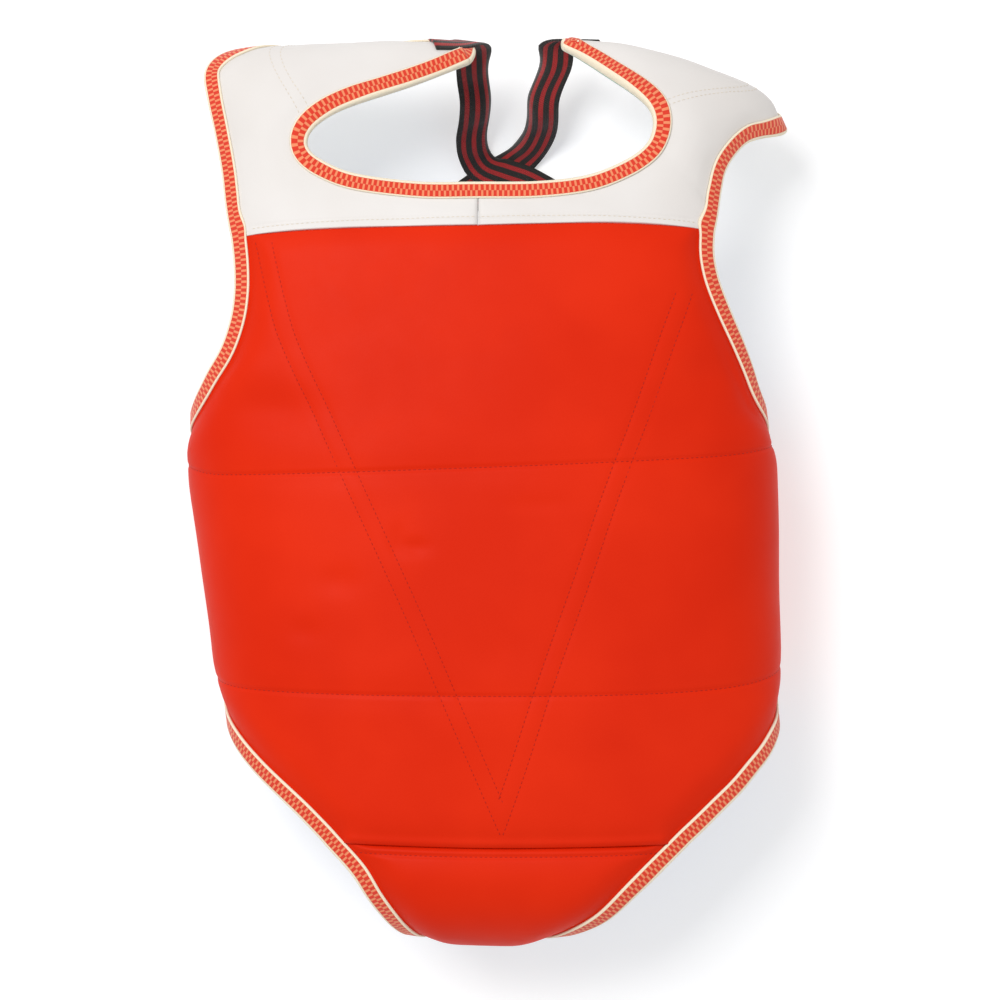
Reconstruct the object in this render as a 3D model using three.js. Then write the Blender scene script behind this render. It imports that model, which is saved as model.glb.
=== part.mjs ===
// A reversible padded chest guard, lying chest up. Millimetres, +Z up, +Y towards the neck.
// Every padded panel is a middle surface with a thickness on both sides of it. The panels share
// their seams, and the folded binding follows the same edge stations as the panels it wraps.
import * as THREE from 'three';

// Torso sizes
const HALF_WIDTH = 200; // middle of the chest to the outer face of a side wing
const TORSO_LENGTH = 409; // stitched lip to yoke seam
const LIP_Y = -240; // where the stitched lip lies, so that the guard's middle is at the origin
const CROWN_HEIGHT = 166; // floor to the outer face at the middle of the chest
const WIDEST_HEIGHT = 85; // floor to where the sides are widest
const ROUNDNESS = 2.6; // power of the rounded-box curve from the crown to the sides
const WING_TUCK = 22; // how far the wings' back edges lean in
const WING_CORNER = 22; // corner radius of the wings and of the lower flap

// Pad thicknesses
const PAD_THICKNESS = 20;
const YOKE_THICKNESS = 12;
const SEAM_THICKNESS = 11; // where two panels are stitched together
const INSET_THICKNESS = 7; // under the inner edge of the binding
const EDGE_THICKNESS = 4; // at the trimmed edge, inside the binding's fold
const EDGE_TAPER = 26; // length over which the foam swells to its full thickness
const CHANNEL_DEPTH = 5; // thickness lost at a stitched channel line
const CHANNEL_HALF_WIDTH = 13;

// Yoke, lower flap, binding and straps
const YOKE_RISE = 130; // yoke seam to the crest of the shoulder flaps
const FLAP_STRAIGHT = 16; // lower flap: length below the lip before it starts to bend
const FLAP_ENTRY_ANGLE = 0.07; // radians down from level at the lip
const FLAP_BEND_RADIUS = 50;
const FLAP_BEND_ANGLE = 2; // radians
const BINDING_WIDTH = 12;
const TAPE_THICKNESS = 1.2;
const STRAP_WIDTH = 25;
const STRAP_THICKNESS = 1.6;
const CLEARANCE = 0.3; // between pieces that touch
const FOLD_CLEARANCE = 0.45; // between a pad and the tape folded over it

// Cross-sections up the body. along: share of TORSO_LENGTH from the lip. middle, left and right: shares of
// HALF_WIDTH. crown: share of CROWN_HEIGHT.
const BODY_SECTIONS = [
  { along: -0.3, middle: 0.055, left: 0.98, right: 1.08, crown: 0.91 },
  { along: 0, middle: 0.041, left: 0.97, right: 1.07, crown: 0.955 },
  { along: 0.24, middle: 0.023, left: 0.95, right: 0.985, crown: 1 },
  { along: 0.61, middle: -0.01, left: 1.015, right: 0.995, crown: 1.01 },
  { along: 1, middle: -0.033, left: 1.065, right: 0.995, crown: 0.965 },
  { along: 1.12, middle: -0.037, left: 1.065, right: 0.995, crown: 0.92 },
  { along: 1.4, middle: -0.045, left: 1.065, right: 0.995, crown: 0.905 },
];

// Seams and channel lines that cross the body. across: 0 at the middle, 1 where the side is widest and 2 at
// the floor. along: share of TORSO_LENGTH.
const LIP = [
  { across: -1, along: 0.03 },
  { across: -0.4, along: 0.008 },
  { across: 0, along: 0 },
  { across: 0.385, along: 0.006 },
  { across: 1, along: 0.03 },
];
const CHANNEL_LOW = [
  { across: -2, along: 0.33 },
  { across: -1, along: 0.276 },
  { across: -0.6, along: 0.254 },
  { across: 0, along: 0.246 },
  { across: 0.5, along: 0.254 },
  { across: 1, along: 0.29 },
  { across: 2, along: 0.34 },
];
const CHANNEL_HIGH = [
  { across: -2, along: 0.585 },
  { across: -1, along: 0.622 },
  { across: -0.6, along: 0.602 },
  { across: 0, along: 0.612 },
  { across: 0.5, along: 0.629 },
  { across: 1, along: 0.65 },
  { across: 2, along: 0.585 },
];
const YOKE_SEAM = [
  { across: -0.8, along: 0.975 },
  { across: -0.53, along: 0.986 },
  { across: -0.3, along: 0.996 },
  { across: 0, along: 1.001 },
  { across: 0.3, along: 1.005 },
  { across: 0.55, along: 0.998 },
  { across: 0.8, along: 0.99 },
];

// Trimmed edges of the torso, from the wing's back corner to the seam. The first WING_ROWS steps lie on the
// wing.
const WING_ROWS = 4;
const TOP_EDGE = {
  left: [
    { across: -1.98, along: 0.655 },
    { across: -1.75, along: 0.66 },
    { across: -1.5, along: 0.668 },
    { across: -1.24, along: 0.68 },
    { across: -1, along: 0.695 },
    { across: -0.84, along: 0.712 },
    { across: -0.735, along: 0.738 },
    { across: -0.66, along: 0.77 },
    { across: -0.595, along: 0.806 },
    { across: -0.553, along: 0.852 },
    { across: -0.534, along: 0.897 },
    { across: -0.529, along: 0.943 },
    { across: -0.532, along: 0.986 },
  ],
  right: [
    { across: 1.98, along: 0.655 },
    { across: 1.75, along: 0.66 },
    { across: 1.5, along: 0.668 },
    { across: 1.24, along: 0.68 },
    { across: 1, along: 0.695 },
    { across: 0.86, along: 0.716 },
    { across: 0.77, along: 0.74 },
    { across: 0.708, along: 0.781 },
    { across: 0.655, along: 0.822 },
    { across: 0.605, along: 0.866 },
    { across: 0.563, along: 0.916 },
    { across: 0.547, along: 0.96 },
    { across: 0.552, along: 0.998 },
  ],
};
const LOW_EDGE = {
  left: [
    { across: -1.98, along: 0.25 },
    { across: -1.75, along: 0.245 },
    { across: -1.5, along: 0.238 },
    { across: -1.24, along: 0.228 },
    { across: -1, along: 0.212 },
    { across: -0.87, along: 0.188 },
    { across: -0.76, along: 0.162 },
    { across: -0.675, along: 0.137 },
    { across: -0.604, along: 0.112 },
    { across: -0.535, along: 0.084 },
    { across: -0.475, along: 0.055 },
    { across: -0.43, along: 0.028 },
    { across: -0.4, along: 0.008 },
  ],
  right: [
    { across: 1.98, along: 0.25 },
    { across: 1.75, along: 0.245 },
    { across: 1.5, along: 0.238 },
    { across: 1.24, along: 0.228 },
    { across: 1, along: 0.212 },
    { across: 0.87, along: 0.186 },
    { across: 0.76, along: 0.163 },
    { across: 0.675, along: 0.139 },
    { across: 0.604, along: 0.116 },
    { across: 0.535, along: 0.086 },
    { across: 0.475, along: 0.058 },
    { across: 0.425, along: 0.03 },
    { across: 0.385, along: 0.006 },
  ],
};
// How far across the columns of the seam group and of the edge group reach on the two channel lines.
const CHANNEL_REACH = { seam: 0.3, edge: 0.98 };

// Widths of the lower flap to the left and right, as shares of its width at the lip, by share of its length.
const FLAP_SECTIONS = [
  { down: 0, left: 1, right: 1 },
  { down: 0.18, left: 0.82, right: 0.835 },
  { down: 0.3, left: 0.74, right: 0.725 },
  { down: 0.46, left: 0.635, right: 0.6 },
  { down: 0.68, left: 0.52, right: 0.41 },
  { down: 1, left: 0.4, right: 0.27 },
];

// Sections of the shoulder flaps from the centre seam to the tip. Each has a point on the neck edge, one on
// the ridge and one on the outer edge, as shares of HALF_WIDTH across, YOKE_RISE above the seam and
// CROWN_HEIGHT up. The first SEAM_ROWS sections end on the yoke seam and need only the neck edge.
const SEAM_ROWS = 3;
const YOKE_SECTIONS = {
  left: [
    { neck: [-0.033, 0.222, 0.877] },
    { neck: [-0.235, 0.224, 0.875] },
    { neck: [-0.445, 0.27, 0.857] },
    { neck: [-0.56, 0.345, 0.84], ridge: [-0.71, 0.18, 0.835], outer: [-0.85, -0.035, 0.797] },
    { neck: [-0.602, 0.405, 0.828], ridge: [-0.735, 0.27, 0.82], outer: [-0.866, 0.12, 0.777] },
    { neck: [-0.607, 0.465, 0.82], ridge: [-0.745, 0.4, 0.81], outer: [-0.88, 0.3, 0.76] },
    { neck: [-0.582, 0.53, 0.812], ridge: [-0.75, 0.54, 0.8], outer: [-0.905, 0.505, 0.74] },
    { neck: [-0.53, 0.592, 0.8], ridge: [-0.735, 0.67, 0.785], outer: [-0.933, 0.69, 0.718] },
    { neck: [-0.475, 0.636, 0.786], ridge: [-0.71, 0.765, 0.76], outer: [-0.944, 0.82, 0.69] },
    { neck: [-0.41, 0.675, 0.772], ridge: [-0.67, 0.84, 0.73], outer: [-0.895, 0.905, 0.65] },
    { neck: [-0.345, 0.711, 0.752], ridge: [-0.61, 0.895, 0.695], outer: [-0.79, 0.945, 0.585] },
    { neck: [-0.265, 0.755, 0.728], ridge: [-0.5, 0.93, 0.65], outer: [-0.63, 0.935, 0.43] },
    { neck: [-0.185, 0.805, 0.702], ridge: [-0.37, 0.945, 0.645], outer: [-0.43, 0.94, 0.44] },
    { neck: [-0.095, 0.865, 0.672], ridge: [-0.175, 0.955, 0.635], outer: [-0.225, 0.985, 0.53] },
    { neck: [-0.028, 0.912, 0.63], ridge: [-0.055, 0.955, 0.585], outer: [-0.075, 0.975, 0.5] },
  ],
  right: [
    { neck: [-0.033, 0.222, 0.877] },
    { neck: [0.17, 0.226, 0.874] },
    { neck: [0.335, 0.262, 0.859] },
    { neck: [0.465, 0.345, 0.836], ridge: [0.62, 0.19, 0.83], outer: [0.752, -0.005, 0.787] },
    { neck: [0.53, 0.425, 0.822], ridge: [0.65, 0.27, 0.815], outer: [0.757, 0.085, 0.776] },
    { neck: [0.553, 0.5, 0.813], ridge: [0.665, 0.375, 0.805], outer: [0.768, 0.208, 0.757] },
    { neck: [0.555, 0.572, 0.802], ridge: [0.68, 0.475, 0.79], outer: [0.79, 0.332, 0.73] },
    { neck: [0.541, 0.629, 0.79], ridge: [0.715, 0.56, 0.765], outer: [0.853, 0.46, 0.665] },
    { neck: [0.51, 0.683, 0.776], ridge: [0.76, 0.635, 0.72], outer: [0.922, 0.51, 0.59] },
    { neck: [0.462, 0.745, 0.756], ridge: [0.81, 0.7, 0.66], outer: [1.005, 0.548, 0.48] },
    { neck: [0.405, 0.81, 0.722], ridge: [0.83, 0.76, 0.6], outer: [0.965, 0.62, 0.31] },
    { neck: [0.35, 0.874, 0.68], ridge: [0.72, 0.84, 0.57], outer: [0.84, 0.69, 0.27] },
    { neck: [0.3, 0.927, 0.642], ridge: [0.56, 0.915, 0.57], outer: [0.66, 0.79, 0.3] },
    { neck: [0.26, 0.962, 0.615], ridge: [0.4, 0.965, 0.575], outer: [0.47, 0.89, 0.36] },
    { neck: [0.222, 0.99, 0.585], ridge: [0.262, 1.0, 0.54], outer: [0.3, 0.98, 0.42] },
  ],
};

// Routes of the straps' middle lines from the flap tips to the wings, in the same shares as the flaps. The
// side vector points across the strap.
const STRAP_ROUTES = {
  left: [
    { across: -0.19, rise: 1, up: 0.649, side: [0.28, -0.46, 0.85] },
    { across: -0.135, rise: 1.006, up: 0.636, side: [0.36, -0.42, 0.83] },
    { across: -0.085, rise: 1.014, up: 0.599, side: [0.6, -0.3, 0.73] },
    { across: -0.06, rise: 1.02, up: 0.536, side: [0.86, -0.15, 0.48] },
    { across: -0.052, rise: 1, up: 0.464, side: [0.98, -0.05, 0.15] },
    { across: -0.049, rise: 0.938, up: 0.398, side: [1, 0, 0] },
    { across: -0.045, rise: 0.842, up: 0.331, side: [1, 0, 0] },
    { across: -0.04, rise: 0.738, up: 0.271, side: [1, 0, 0] },
    { across: -0.043, rise: 0.638, up: 0.199, side: [1, 0, 0] },
    { across: -0.05, rise: 0.554, up: 0.127, side: [1, 0, 0] },
    { across: -0.045, rise: 0.481, up: 0.075, side: [0.98, 0.2, 0] },
    { across: -0.015, rise: 0.419, up: 0.051, side: [0.8, 0.6, 0] },
    { across: 0.055, rise: 0.377, up: 0.039, side: [0.42, 0.9, 0] },
    { across: 0.15, rise: 0.323, up: 0.033, side: [0.5, 0.86, 0] },
    { across: 0.275, rise: 0.192, up: 0.02, side: [0.7, 0.72, 0] },
    { across: 0.4, rise: -0.077, up: 0.008, side: [0.84, 0.54, 0] },
    { across: 0.49, rise: -0.408, up: 0.006, side: [0.92, 0.39, 0] },
    { across: 0.56, rise: -0.692, up: 0.006, side: [0.93, 0.36, 0] },
    { across: 0.62, rise: -0.962, up: 0.006, side: [0.9, 0.43, 0] },
    { across: 0.67, rise: -1.115, up: 0.006, side: [0.75, 0.66, 0] },
    { across: 0.725, rise: -1.208, up: 0.008, side: [0.42, 0.9, 0] },
    { across: 0.77, rise: -1.242, up: 0.027, side: [0.1, 0.99, 0] },
    { across: 0.795, rise: -1.254, up: 0.072, side: [0, 1, 0] },
    { across: 0.807, rise: -1.254, up: 0.139, side: [0, 1, 0] },
    { across: 0.81, rise: -1.254, up: 0.217, side: [0, 1, 0] },
  ],
  right: [
    { across: 0.39, rise: 1.035, up: 0.572, side: [-0.25, -0.22, 0.94] },
    { across: 0.335, rise: 1.049, up: 0.56, side: [-0.32, -0.24, 0.92] },
    { across: 0.282, rise: 1.054, up: 0.524, side: [-0.55, -0.22, 0.8] },
    { across: 0.25, rise: 1.052, up: 0.47, side: [-0.82, -0.15, 0.55] },
    { across: 0.235, rise: 1.029, up: 0.41, side: [-0.97, -0.05, 0.2] },
    { across: 0.228, rise: 0.969, up: 0.361, side: [-1, 0, 0.05] },
    { across: 0.212, rise: 0.877, up: 0.319, side: [-1, 0, 0] },
    { across: 0.193, rise: 0.762, up: 0.277, side: [-1, 0, 0] },
    { across: 0.18, rise: 0.662, up: 0.211, side: [-1, 0, 0] },
    { across: 0.163, rise: 0.569, up: 0.114, side: [-1, 0, 0] },
    { across: 0.135, rise: 0.5, up: 0.042, side: [-0.95, 0.3, 0] },
    { across: 0.085, rise: 0.442, up: 0.013, side: [-0.75, 0.66, 0] },
    { across: 0.02, rise: 0.373, up: 0.006, side: [-0.6, 0.8, 0] },
    { across: -0.125, rise: 0.208, up: 0.006, side: [-0.68, 0.73, 0] },
    { across: -0.29, rise: -0.077, up: 0.006, side: [-0.77, 0.64, 0] },
    { across: -0.45, rise: -0.408, up: 0.006, side: [-0.83, 0.56, 0] },
    { across: -0.56, rise: -0.7, up: 0.006, side: [-0.88, 0.47, 0] },
    { across: -0.645, rise: -0.977, up: 0.006, side: [-0.86, 0.5, 0] },
    { across: -0.705, rise: -1.131, up: 0.006, side: [-0.74, 0.67, 0] },
    { across: -0.755, rise: -1.215, up: 0.008, side: [-0.42, 0.9, 0] },
    { across: -0.8, rise: -1.246, up: 0.028, side: [-0.1, 0.99, 0] },
    { across: -0.823, rise: -1.254, up: 0.072, side: [0, 1, 0] },
    { across: -0.833, rise: -1.254, up: 0.139, side: [0, 1, 0] },
    { across: -0.837, rise: -1.254, up: 0.217, side: [0, 1, 0] },
  ],
};
const STRAP_STEPS = 2; // sections for each row of a route

const COLOURS = { red: 0xe32f14, white: 0xf3efe9, tape: 0xe7674a, webbing: 0x1d1a16 };

// Reads a table at a place between its rows, along a smooth curve through them.
function readTable(table, column, key, place) {
  let row = 0;
  while (row < table.length - 2 && place > table[row + 1][key]) row += 1;
  const start = table[row][key];
  const step = table[row + 1][key] - start;
  const slope = (index) => {
    const before = table[Math.max(index - 1, 0)];
    const after = table[Math.min(index + 1, table.length - 1)];
    return (after[column] - before[column]) / (after[key] - before[key]);
  };
  const t = (place - start) / step;
  const from = table[row][column];
  const to = table[row + 1][column];
  const rise = to - from;
  const slopeFrom = slope(row) * step;
  const slopeTo = slope(row + 1) * step;
  const square = 3 * rise - 2 * slopeFrom - slopeTo;
  const cube = slopeFrom + slopeTo - 2 * rise;
  return from + t * (slopeFrom + t * (square + t * cube));
}

const clamp01 = (value) => Math.min(Math.max(value, 0), 1);
const smooth = (value) => clamp01(value) ** 2 * (3 - 2 * clamp01(value));
const mix = (from, to, share) => from + (to - from) * share;

// The middle surface of the pads: across runs over the chest and down the wings, along runs up the body.
function bodyPoint(across, along) {
  const side = across < 0 ? -1 : 1;
  const turn = Math.abs(across);
  const middle = HALF_WIDTH * readTable(BODY_SECTIONS, 'middle', 'along', along);
  const halfWidth = HALF_WIDTH * readTable(BODY_SECTIONS, side < 0 ? 'left' : 'right', 'along', along);
  const crown = CROWN_HEIGHT * readTable(BODY_SECTIONS, 'crown', 'along', along) - PAD_THICKNESS / 2;
  const reach = halfWidth - PAD_THICKNESS / 2;
  const y = LIP_Y + TORSO_LENGTH * along;
  if (turn > 1) {
    const tuck = WING_TUCK * smooth(turn - 1);
    return new THREE.Vector3(middle + side * (reach - tuck), y, WIDEST_HEIGHT * (2 - turn));
  }
  const angle = (turn * Math.PI) / 2;
  const radius = (Math.sin(angle) ** ROUNDNESS + Math.cos(angle) ** ROUNDNESS) ** (-1 / ROUNDNESS);
  const z = WIDEST_HEIGHT + (crown - WIDEST_HEIGHT) * radius * Math.cos(angle);
  return new THREE.Vector3(middle + side * reach * radius * Math.sin(angle), y, z);
}

// Unit normal of a surface function at a place, by small differences.
function normalOf(surface, u, v, step = 1e-3) {
  const alongU = surface(u + step, v).sub(surface(u - step, v));
  const alongV = surface(u, v + step).sub(surface(u, v - step));
  return alongU.cross(alongV).normalize();
}

// A vertex of a panel: its place on the middle surface, the normal there and half the thickness.
function bodyVertex(across, along) {
  const normal = normalOf(bodyPoint, across, along);
  return { across, along, point: bodyPoint(across, along), normal, half: 0 };
}

// The place a given distance in from an edge of the torso, square to that edge.
function insetOnBody(before, at, after, distance) {
  const tangent = bodyPoint(after.across, after.along).sub(bodyPoint(before.across, before.along));
  const normal = normalOf(bodyPoint, at.across, at.along);
  const inward = normal.clone().cross(tangent).normalize().multiplyScalar(distance);
  const step = 1e-3;
  const here = bodyPoint(at.across, at.along);
  const perAcross = bodyPoint(at.across + step, at.along).sub(here).divideScalar(step);
  const perAlong = bodyPoint(at.across, at.along + step).sub(here).divideScalar(step);
  const aa = perAcross.dot(perAcross);
  const ab = perAcross.dot(perAlong);
  const bb = perAlong.dot(perAlong);
  const ia = inward.dot(perAcross);
  const ib = inward.dot(perAlong);
  const det = aa * bb - ab * ab;
  return {
    across: at.across + (ia * bb - ib * ab) / det,
    along: at.along + (ib * aa - ia * ab) / det,
  };
}

// Collects triangles whose corners are merged by place, and leaves out those that merging collapses.
class SolidBuilder {
  constructor() {
    this.keys = new Map();
    this.positions = [];
    this.triangles = [];
  }

  index(point) {
    const key = [point.x, point.y, point.z].map((value) => Math.round(value * 1e4)).join(',');
    if (!this.keys.has(key)) {
      this.keys.set(key, this.positions.length / 3);
      this.positions.push(point.x, point.y, point.z);
    }
    return this.keys.get(key);
  }

  triangle(a, b, c) {
    const corners = [a, b, c].map((point) => this.index(point));
    if (new Set(corners).size === 3) this.triangles.push(...corners);
  }

  // Corners in order. The split says which diagonal the two triangles share.
  quad(a, b, c, d, splitAC = true) {
    if (splitAC) {
      this.triangle(a, b, c);
      this.triangle(a, c, d);
    } else {
      this.triangle(a, b, d);
      this.triangle(b, c, d);
    }
  }

  mesh(name, colour, roughness) {
    const geometry = new THREE.BufferGeometry();
    geometry.setAttribute('position', new THREE.Float32BufferAttribute(this.positions, 3));
    geometry.setIndex(this.triangles);
    geometry.computeVertexNormals();
    const material = new THREE.MeshStandardMaterial({ color: colour, roughness, metalness: 0 });
    const mesh = new THREE.Mesh(geometry, material);
    mesh.name = name;
    return mesh;
  }
}

// The shorter diagonal of four middle-surface points, so that a pad and its binding split alike.
const shorterIsAC = (a, b, c, d) => a.point.distanceTo(c.point) <= b.point.distanceTo(d.point) + 1e-6;

const faceOf = (vertex, sign) => vertex.point.clone().addScaledVector(vertex.normal, sign * vertex.half);

// A closed pad from a grid of vertices, rows by columns, whose normals point outwards.
function padMesh(name, grid, colour) {
  const solid = new SolidBuilder();
  const top = (row, column) => faceOf(grid[row][column], 1);
  const bottom = (row, column) => faceOf(grid[row][column], -1);
  const rows = grid.length - 1;
  const columns = grid[0].length - 1;
  for (let i = 0; i < rows; i += 1) {
    for (let j = 0; j < columns; j += 1) {
      const split = shorterIsAC(grid[i][j], grid[i][j + 1], grid[i + 1][j + 1], grid[i + 1][j]);
      solid.quad(top(i, j), top(i, j + 1), top(i + 1, j + 1), top(i + 1, j), split);
      solid.quad(bottom(i, j), bottom(i + 1, j), bottom(i + 1, j + 1), bottom(i, j + 1), split);
    }
  }
  for (let j = 0; j < columns; j += 1) {
    solid.quad(top(0, j + 1), top(0, j), bottom(0, j), bottom(0, j + 1));
    solid.quad(top(rows, j), top(rows, j + 1), bottom(rows, j + 1), bottom(rows, j));
  }
  for (let i = 0; i < rows; i += 1) {
    solid.quad(top(i, 0), top(i + 1, 0), bottom(i + 1, 0), bottom(i, 0));
    solid.quad(top(i + 1, columns), top(i, columns), bottom(i, columns), bottom(i + 1, columns));
  }
  return solid.mesh(name, colour, 0.45);
}

// Distance from a point to a line of vertices.
function distanceTo(line, point) {
  const nearest = new THREE.Vector3();
  const segment = new THREE.Line3();
  let least = Infinity;
  for (let k = 0; k + 1 < line.length; k += 1) {
    segment.set(line[k].point, line[k + 1].point).closestPointToPoint(point, true, nearest);
    least = Math.min(least, nearest.distanceTo(point));
  }
  return least;
}

// Sets each vertex's half thickness: thin under the binding and at seams, swelling to the full pad inside.
function swell(grid, rim, seams, full) {
  for (const vertex of grid.flat()) {
    const fromEdge = distanceTo(rim, vertex.point) - BINDING_WIDTH;
    const fromSeam = Math.min(...seams.map((seam) => distanceTo(seam, vertex.point)));
    const edge = mix(INSET_THICKNESS, full, smooth(fromEdge / EDGE_TAPER));
    const seam = mix(Math.min(SEAM_THICKNESS, full), full, smooth(fromSeam / EDGE_TAPER));
    vertex.half = Math.min(edge, seam) / 2;
  }
}

// Gives the edge stations and their inner partners the two thicknesses that the binding wraps.
function trimEdge(stations) {
  for (const station of stations) {
    station.edge.half = EDGE_THICKNESS / 2;
    station.inset.half = INSET_THICKNESS / 2;
  }
}

const SIDES = ['left', 'right'];
const EDGE_COLUMNS = 10; // columns between the widest point of the wing and the seam's end
const SEAM_COLUMNS = 7; // columns between the seam's bound end and the centre
const EDGE_COUNT = WING_ROWS + EDGE_COLUMNS + 1; // columns from the wing's corner to the seam's end

// Places on one side's trimmed edge, one for each column from the wing's corner to the seam's end.
function edgePlaces(table) {
  const rows = table.map((row, index) => ({ ...row, index }));
  const places = [];
  const read = (index) => ({
    across: readTable(rows, 'across', 'index', index),
    along: readTable(rows, 'along', 'index', index),
  });
  for (let k = 0; k <= WING_ROWS; k += 1) places.push(read(k));
  const last = table.length - 1;
  for (let k = 1; k <= EDGE_COLUMNS; k += 1) places.push(read(mix(WING_ROWS, last, k / EDGE_COLUMNS)));
  return places;
}

const signOf = (side) => (side === 'left' ? -1 : 1);
const wingEnd = 2 - (FOLD_CLEARANCE + TAPE_THICKNESS) / WIDEST_HEIGHT;

// One side of the torso's outline along one edge: the edge places, their insets and the seam's places.
function outlineRow(side, table, seamTable, isTop) {
  const sign = signOf(side);
  const edge = edgePlaces(table[side]);
  edge[0].across = sign * wingEnd;
  const turnIn = isTop === (side === 'left') ? -1 : 1;
  const inset = edge.map((place, k) => {
    const before = edge[Math.max(k - 1, 0)];
    const after = edge[Math.min(k + 1, edge.length - 1)];
    return insetOnBody(before, place, after, turnIn * BINDING_WIDTH);
  });
  const corner = (WING_CORNER * (1 - Math.SQRT1_2)) / WIDEST_HEIGHT;
  const cornerAlong = ((isTop ? -1 : 1) * WING_CORNER * (1 - Math.SQRT1_2)) / TORSO_LENGTH;
  const inwards = BINDING_WIDTH * Math.SQRT1_2;
  edge[0] = { across: edge[0].across - sign * corner, along: edge[0].along + cornerAlong };
  inset[0] = {
    across: edge[0].across - (sign * inwards) / WIDEST_HEIGHT,
    along: edge[0].along + ((isTop ? -1 : 1) * inwards) / TORSO_LENGTH,
  };
  edge[1].across = sign * (wingEnd - WING_CORNER / WIDEST_HEIGHT);
  const seamInset = insetOnSeam(edge[edge.length - 2], edge[edge.length - 1], seamTable, -sign);
  inset[inset.length - 1] = seamInset;
  const seam = [];
  for (let k = 0; k < SEAM_COLUMNS; k += 1) {
    const across = mix(seamInset.across, 0, k / SEAM_COLUMNS);
    seam.push({ across, along: readTable(seamTable, 'along', 'across', across) });
  }
  return { edge, inset, seam };
}

// The place on a seam that lies the binding's width in from the trimmed edge, square to it.
function insetOnSeam(before, end, seamTable, direction) {
  const start = bodyPoint(end.across, end.along);
  const step = 0.05 * direction;
  const trial = end.across + step;
  const reached = bodyPoint(trial, readTable(seamTable, 'along', 'across', trial)).sub(start);
  const edge = bodyPoint(before.across, before.along).sub(start).normalize();
  const sine = reached.clone().normalize().cross(edge).length();
  const across = end.across + (step * BINDING_WIDTH) / (sine * reached.length());
  return { across, along: readTable(seamTable, 'along', 'across', across) };
}

const low = Object.fromEntries(SIDES.map((side) => [side, outlineRow(side, LOW_EDGE, LIP, false)]));
const high = Object.fromEntries(SIDES.map((side) => [side, outlineRow(side, TOP_EDGE, YOKE_SEAM, true)]));

// Joins a left row and a right row over the centre, wing corner to wing corner.
function joinRow(left, right, centre) {
  return [...left, centre, ...[...right].reverse()];
}

// Places across one channel line, one for each column.
function channelPlaces(table) {
  const half = (sign) => {
    const list = [];
    const put = (across) => list.push({ across, along: readTable(table, 'along', 'across', across) });
    const start = wingEnd - BINDING_WIDTH / WIDEST_HEIGHT;
    put(sign * wingEnd);
    for (let k = 1; k <= WING_ROWS; k += 1) {
      put(sign * mix(start, CHANNEL_REACH.edge, (k - 1) / (WING_ROWS - 1)));
    }
    for (let k = 1; k <= EDGE_COLUMNS; k += 1) {
      put(sign * mix(CHANNEL_REACH.edge, CHANNEL_REACH.seam, k / (EDGE_COLUMNS + 1)));
    }
    for (let k = 0; k < SEAM_COLUMNS; k += 1) put(sign * mix(CHANNEL_REACH.seam, 0, k / SEAM_COLUMNS));
    return list;
  };
  return joinRow(half(-1), half(1), { across: 0, along: readTable(table, 'along', 'across', 0) });
}

// The torso's grid of vertices. Its rows run from the lower edge to the top edge, its columns left to right.
function torsoGrid() {
  const seamCentre = (table) => ({ across: 0, along: readTable(table, 'along', 'across', 0) });
  const outline = (rows, table) => {
    const side = (part) => [...part.edge, ...part.seam];
    return joinRow(side(rows.left), side(rows.right), seamCentre(table));
  };
  const inner = (rows, table, step) => {
    const below = (place) => ({ across: place.across, along: place.along + step });
    const side = (part) => [...part.inset, ...part.seam.map(below)];
    return joinRow(side(rows.left), side(rows.right), below(seamCentre(table)));
  };
  const seamStep = BINDING_WIDTH / TORSO_LENGTH;
  const channelStep = CHANNEL_HALF_WIDTH / TORSO_LENGTH;
  const shift = (row, step) => row.map((place) => ({ across: place.across, along: place.along + step }));
  const between = (from, to, count) =>
    Array.from({ length: count }, (_, k) =>
      from.map((place, j) => ({
        across: mix(place.across, to[j].across, (k + 1) / (count + 1)),
        along: mix(place.along, to[j].along, (k + 1) / (count + 1)),
      })),
    );
  const lowInner = inner(low, LIP, seamStep);
  const highInner = inner(high, YOKE_SEAM, -seamStep);
  const lowChannel = channelPlaces(CHANNEL_LOW);
  const highChannel = channelPlaces(CHANNEL_HIGH);
  const least = CHANNEL_HALF_WIDTH / 3 / TORSO_LENGTH;
  const beside = (channel, limits, sign) =>
    shift(channel, sign * channelStep).map((place, j) => {
      const limit = limits[j].along - sign * least;
      return { across: place.across, along: sign * Math.min(sign * place.along, sign * limit) };
    });
  const belowLow = beside(lowChannel, lowInner, -1);
  const aboveHigh = beside(highChannel, highInner, 1);
  const lines = [
    outline(low, LIP),
    lowInner,
    ...between(lowInner, belowLow, 3),
    belowLow,
    lowChannel,
    shift(lowChannel, channelStep),
    ...between(shift(lowChannel, channelStep), shift(highChannel, -channelStep), 4),
    shift(highChannel, -channelStep),
    highChannel,
    aboveHigh,
    ...between(aboveHigh, highInner, 4),
    highInner,
    outline(high, YOKE_SEAM),
  ];
  const grid = lines.map((line) => line.map((place) => bodyVertex(place.across, place.along)));
  squareWingEnds(grid);
  const last = grid.length - 1;
  const right = grid[0].length - EDGE_COUNT;
  for (const [outerRow, innerRow] of [[0, 1], [last, last - 1]]) {
    grid[innerRow][EDGE_COUNT - 1] = grid[outerRow][EDGE_COUNT];
    grid[innerRow][right] = grid[outerRow][right - 1];
  }
  return { grid, channels: [grid[lines.indexOf(lowChannel)], grid[lines.indexOf(highChannel)]] };
}

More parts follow.
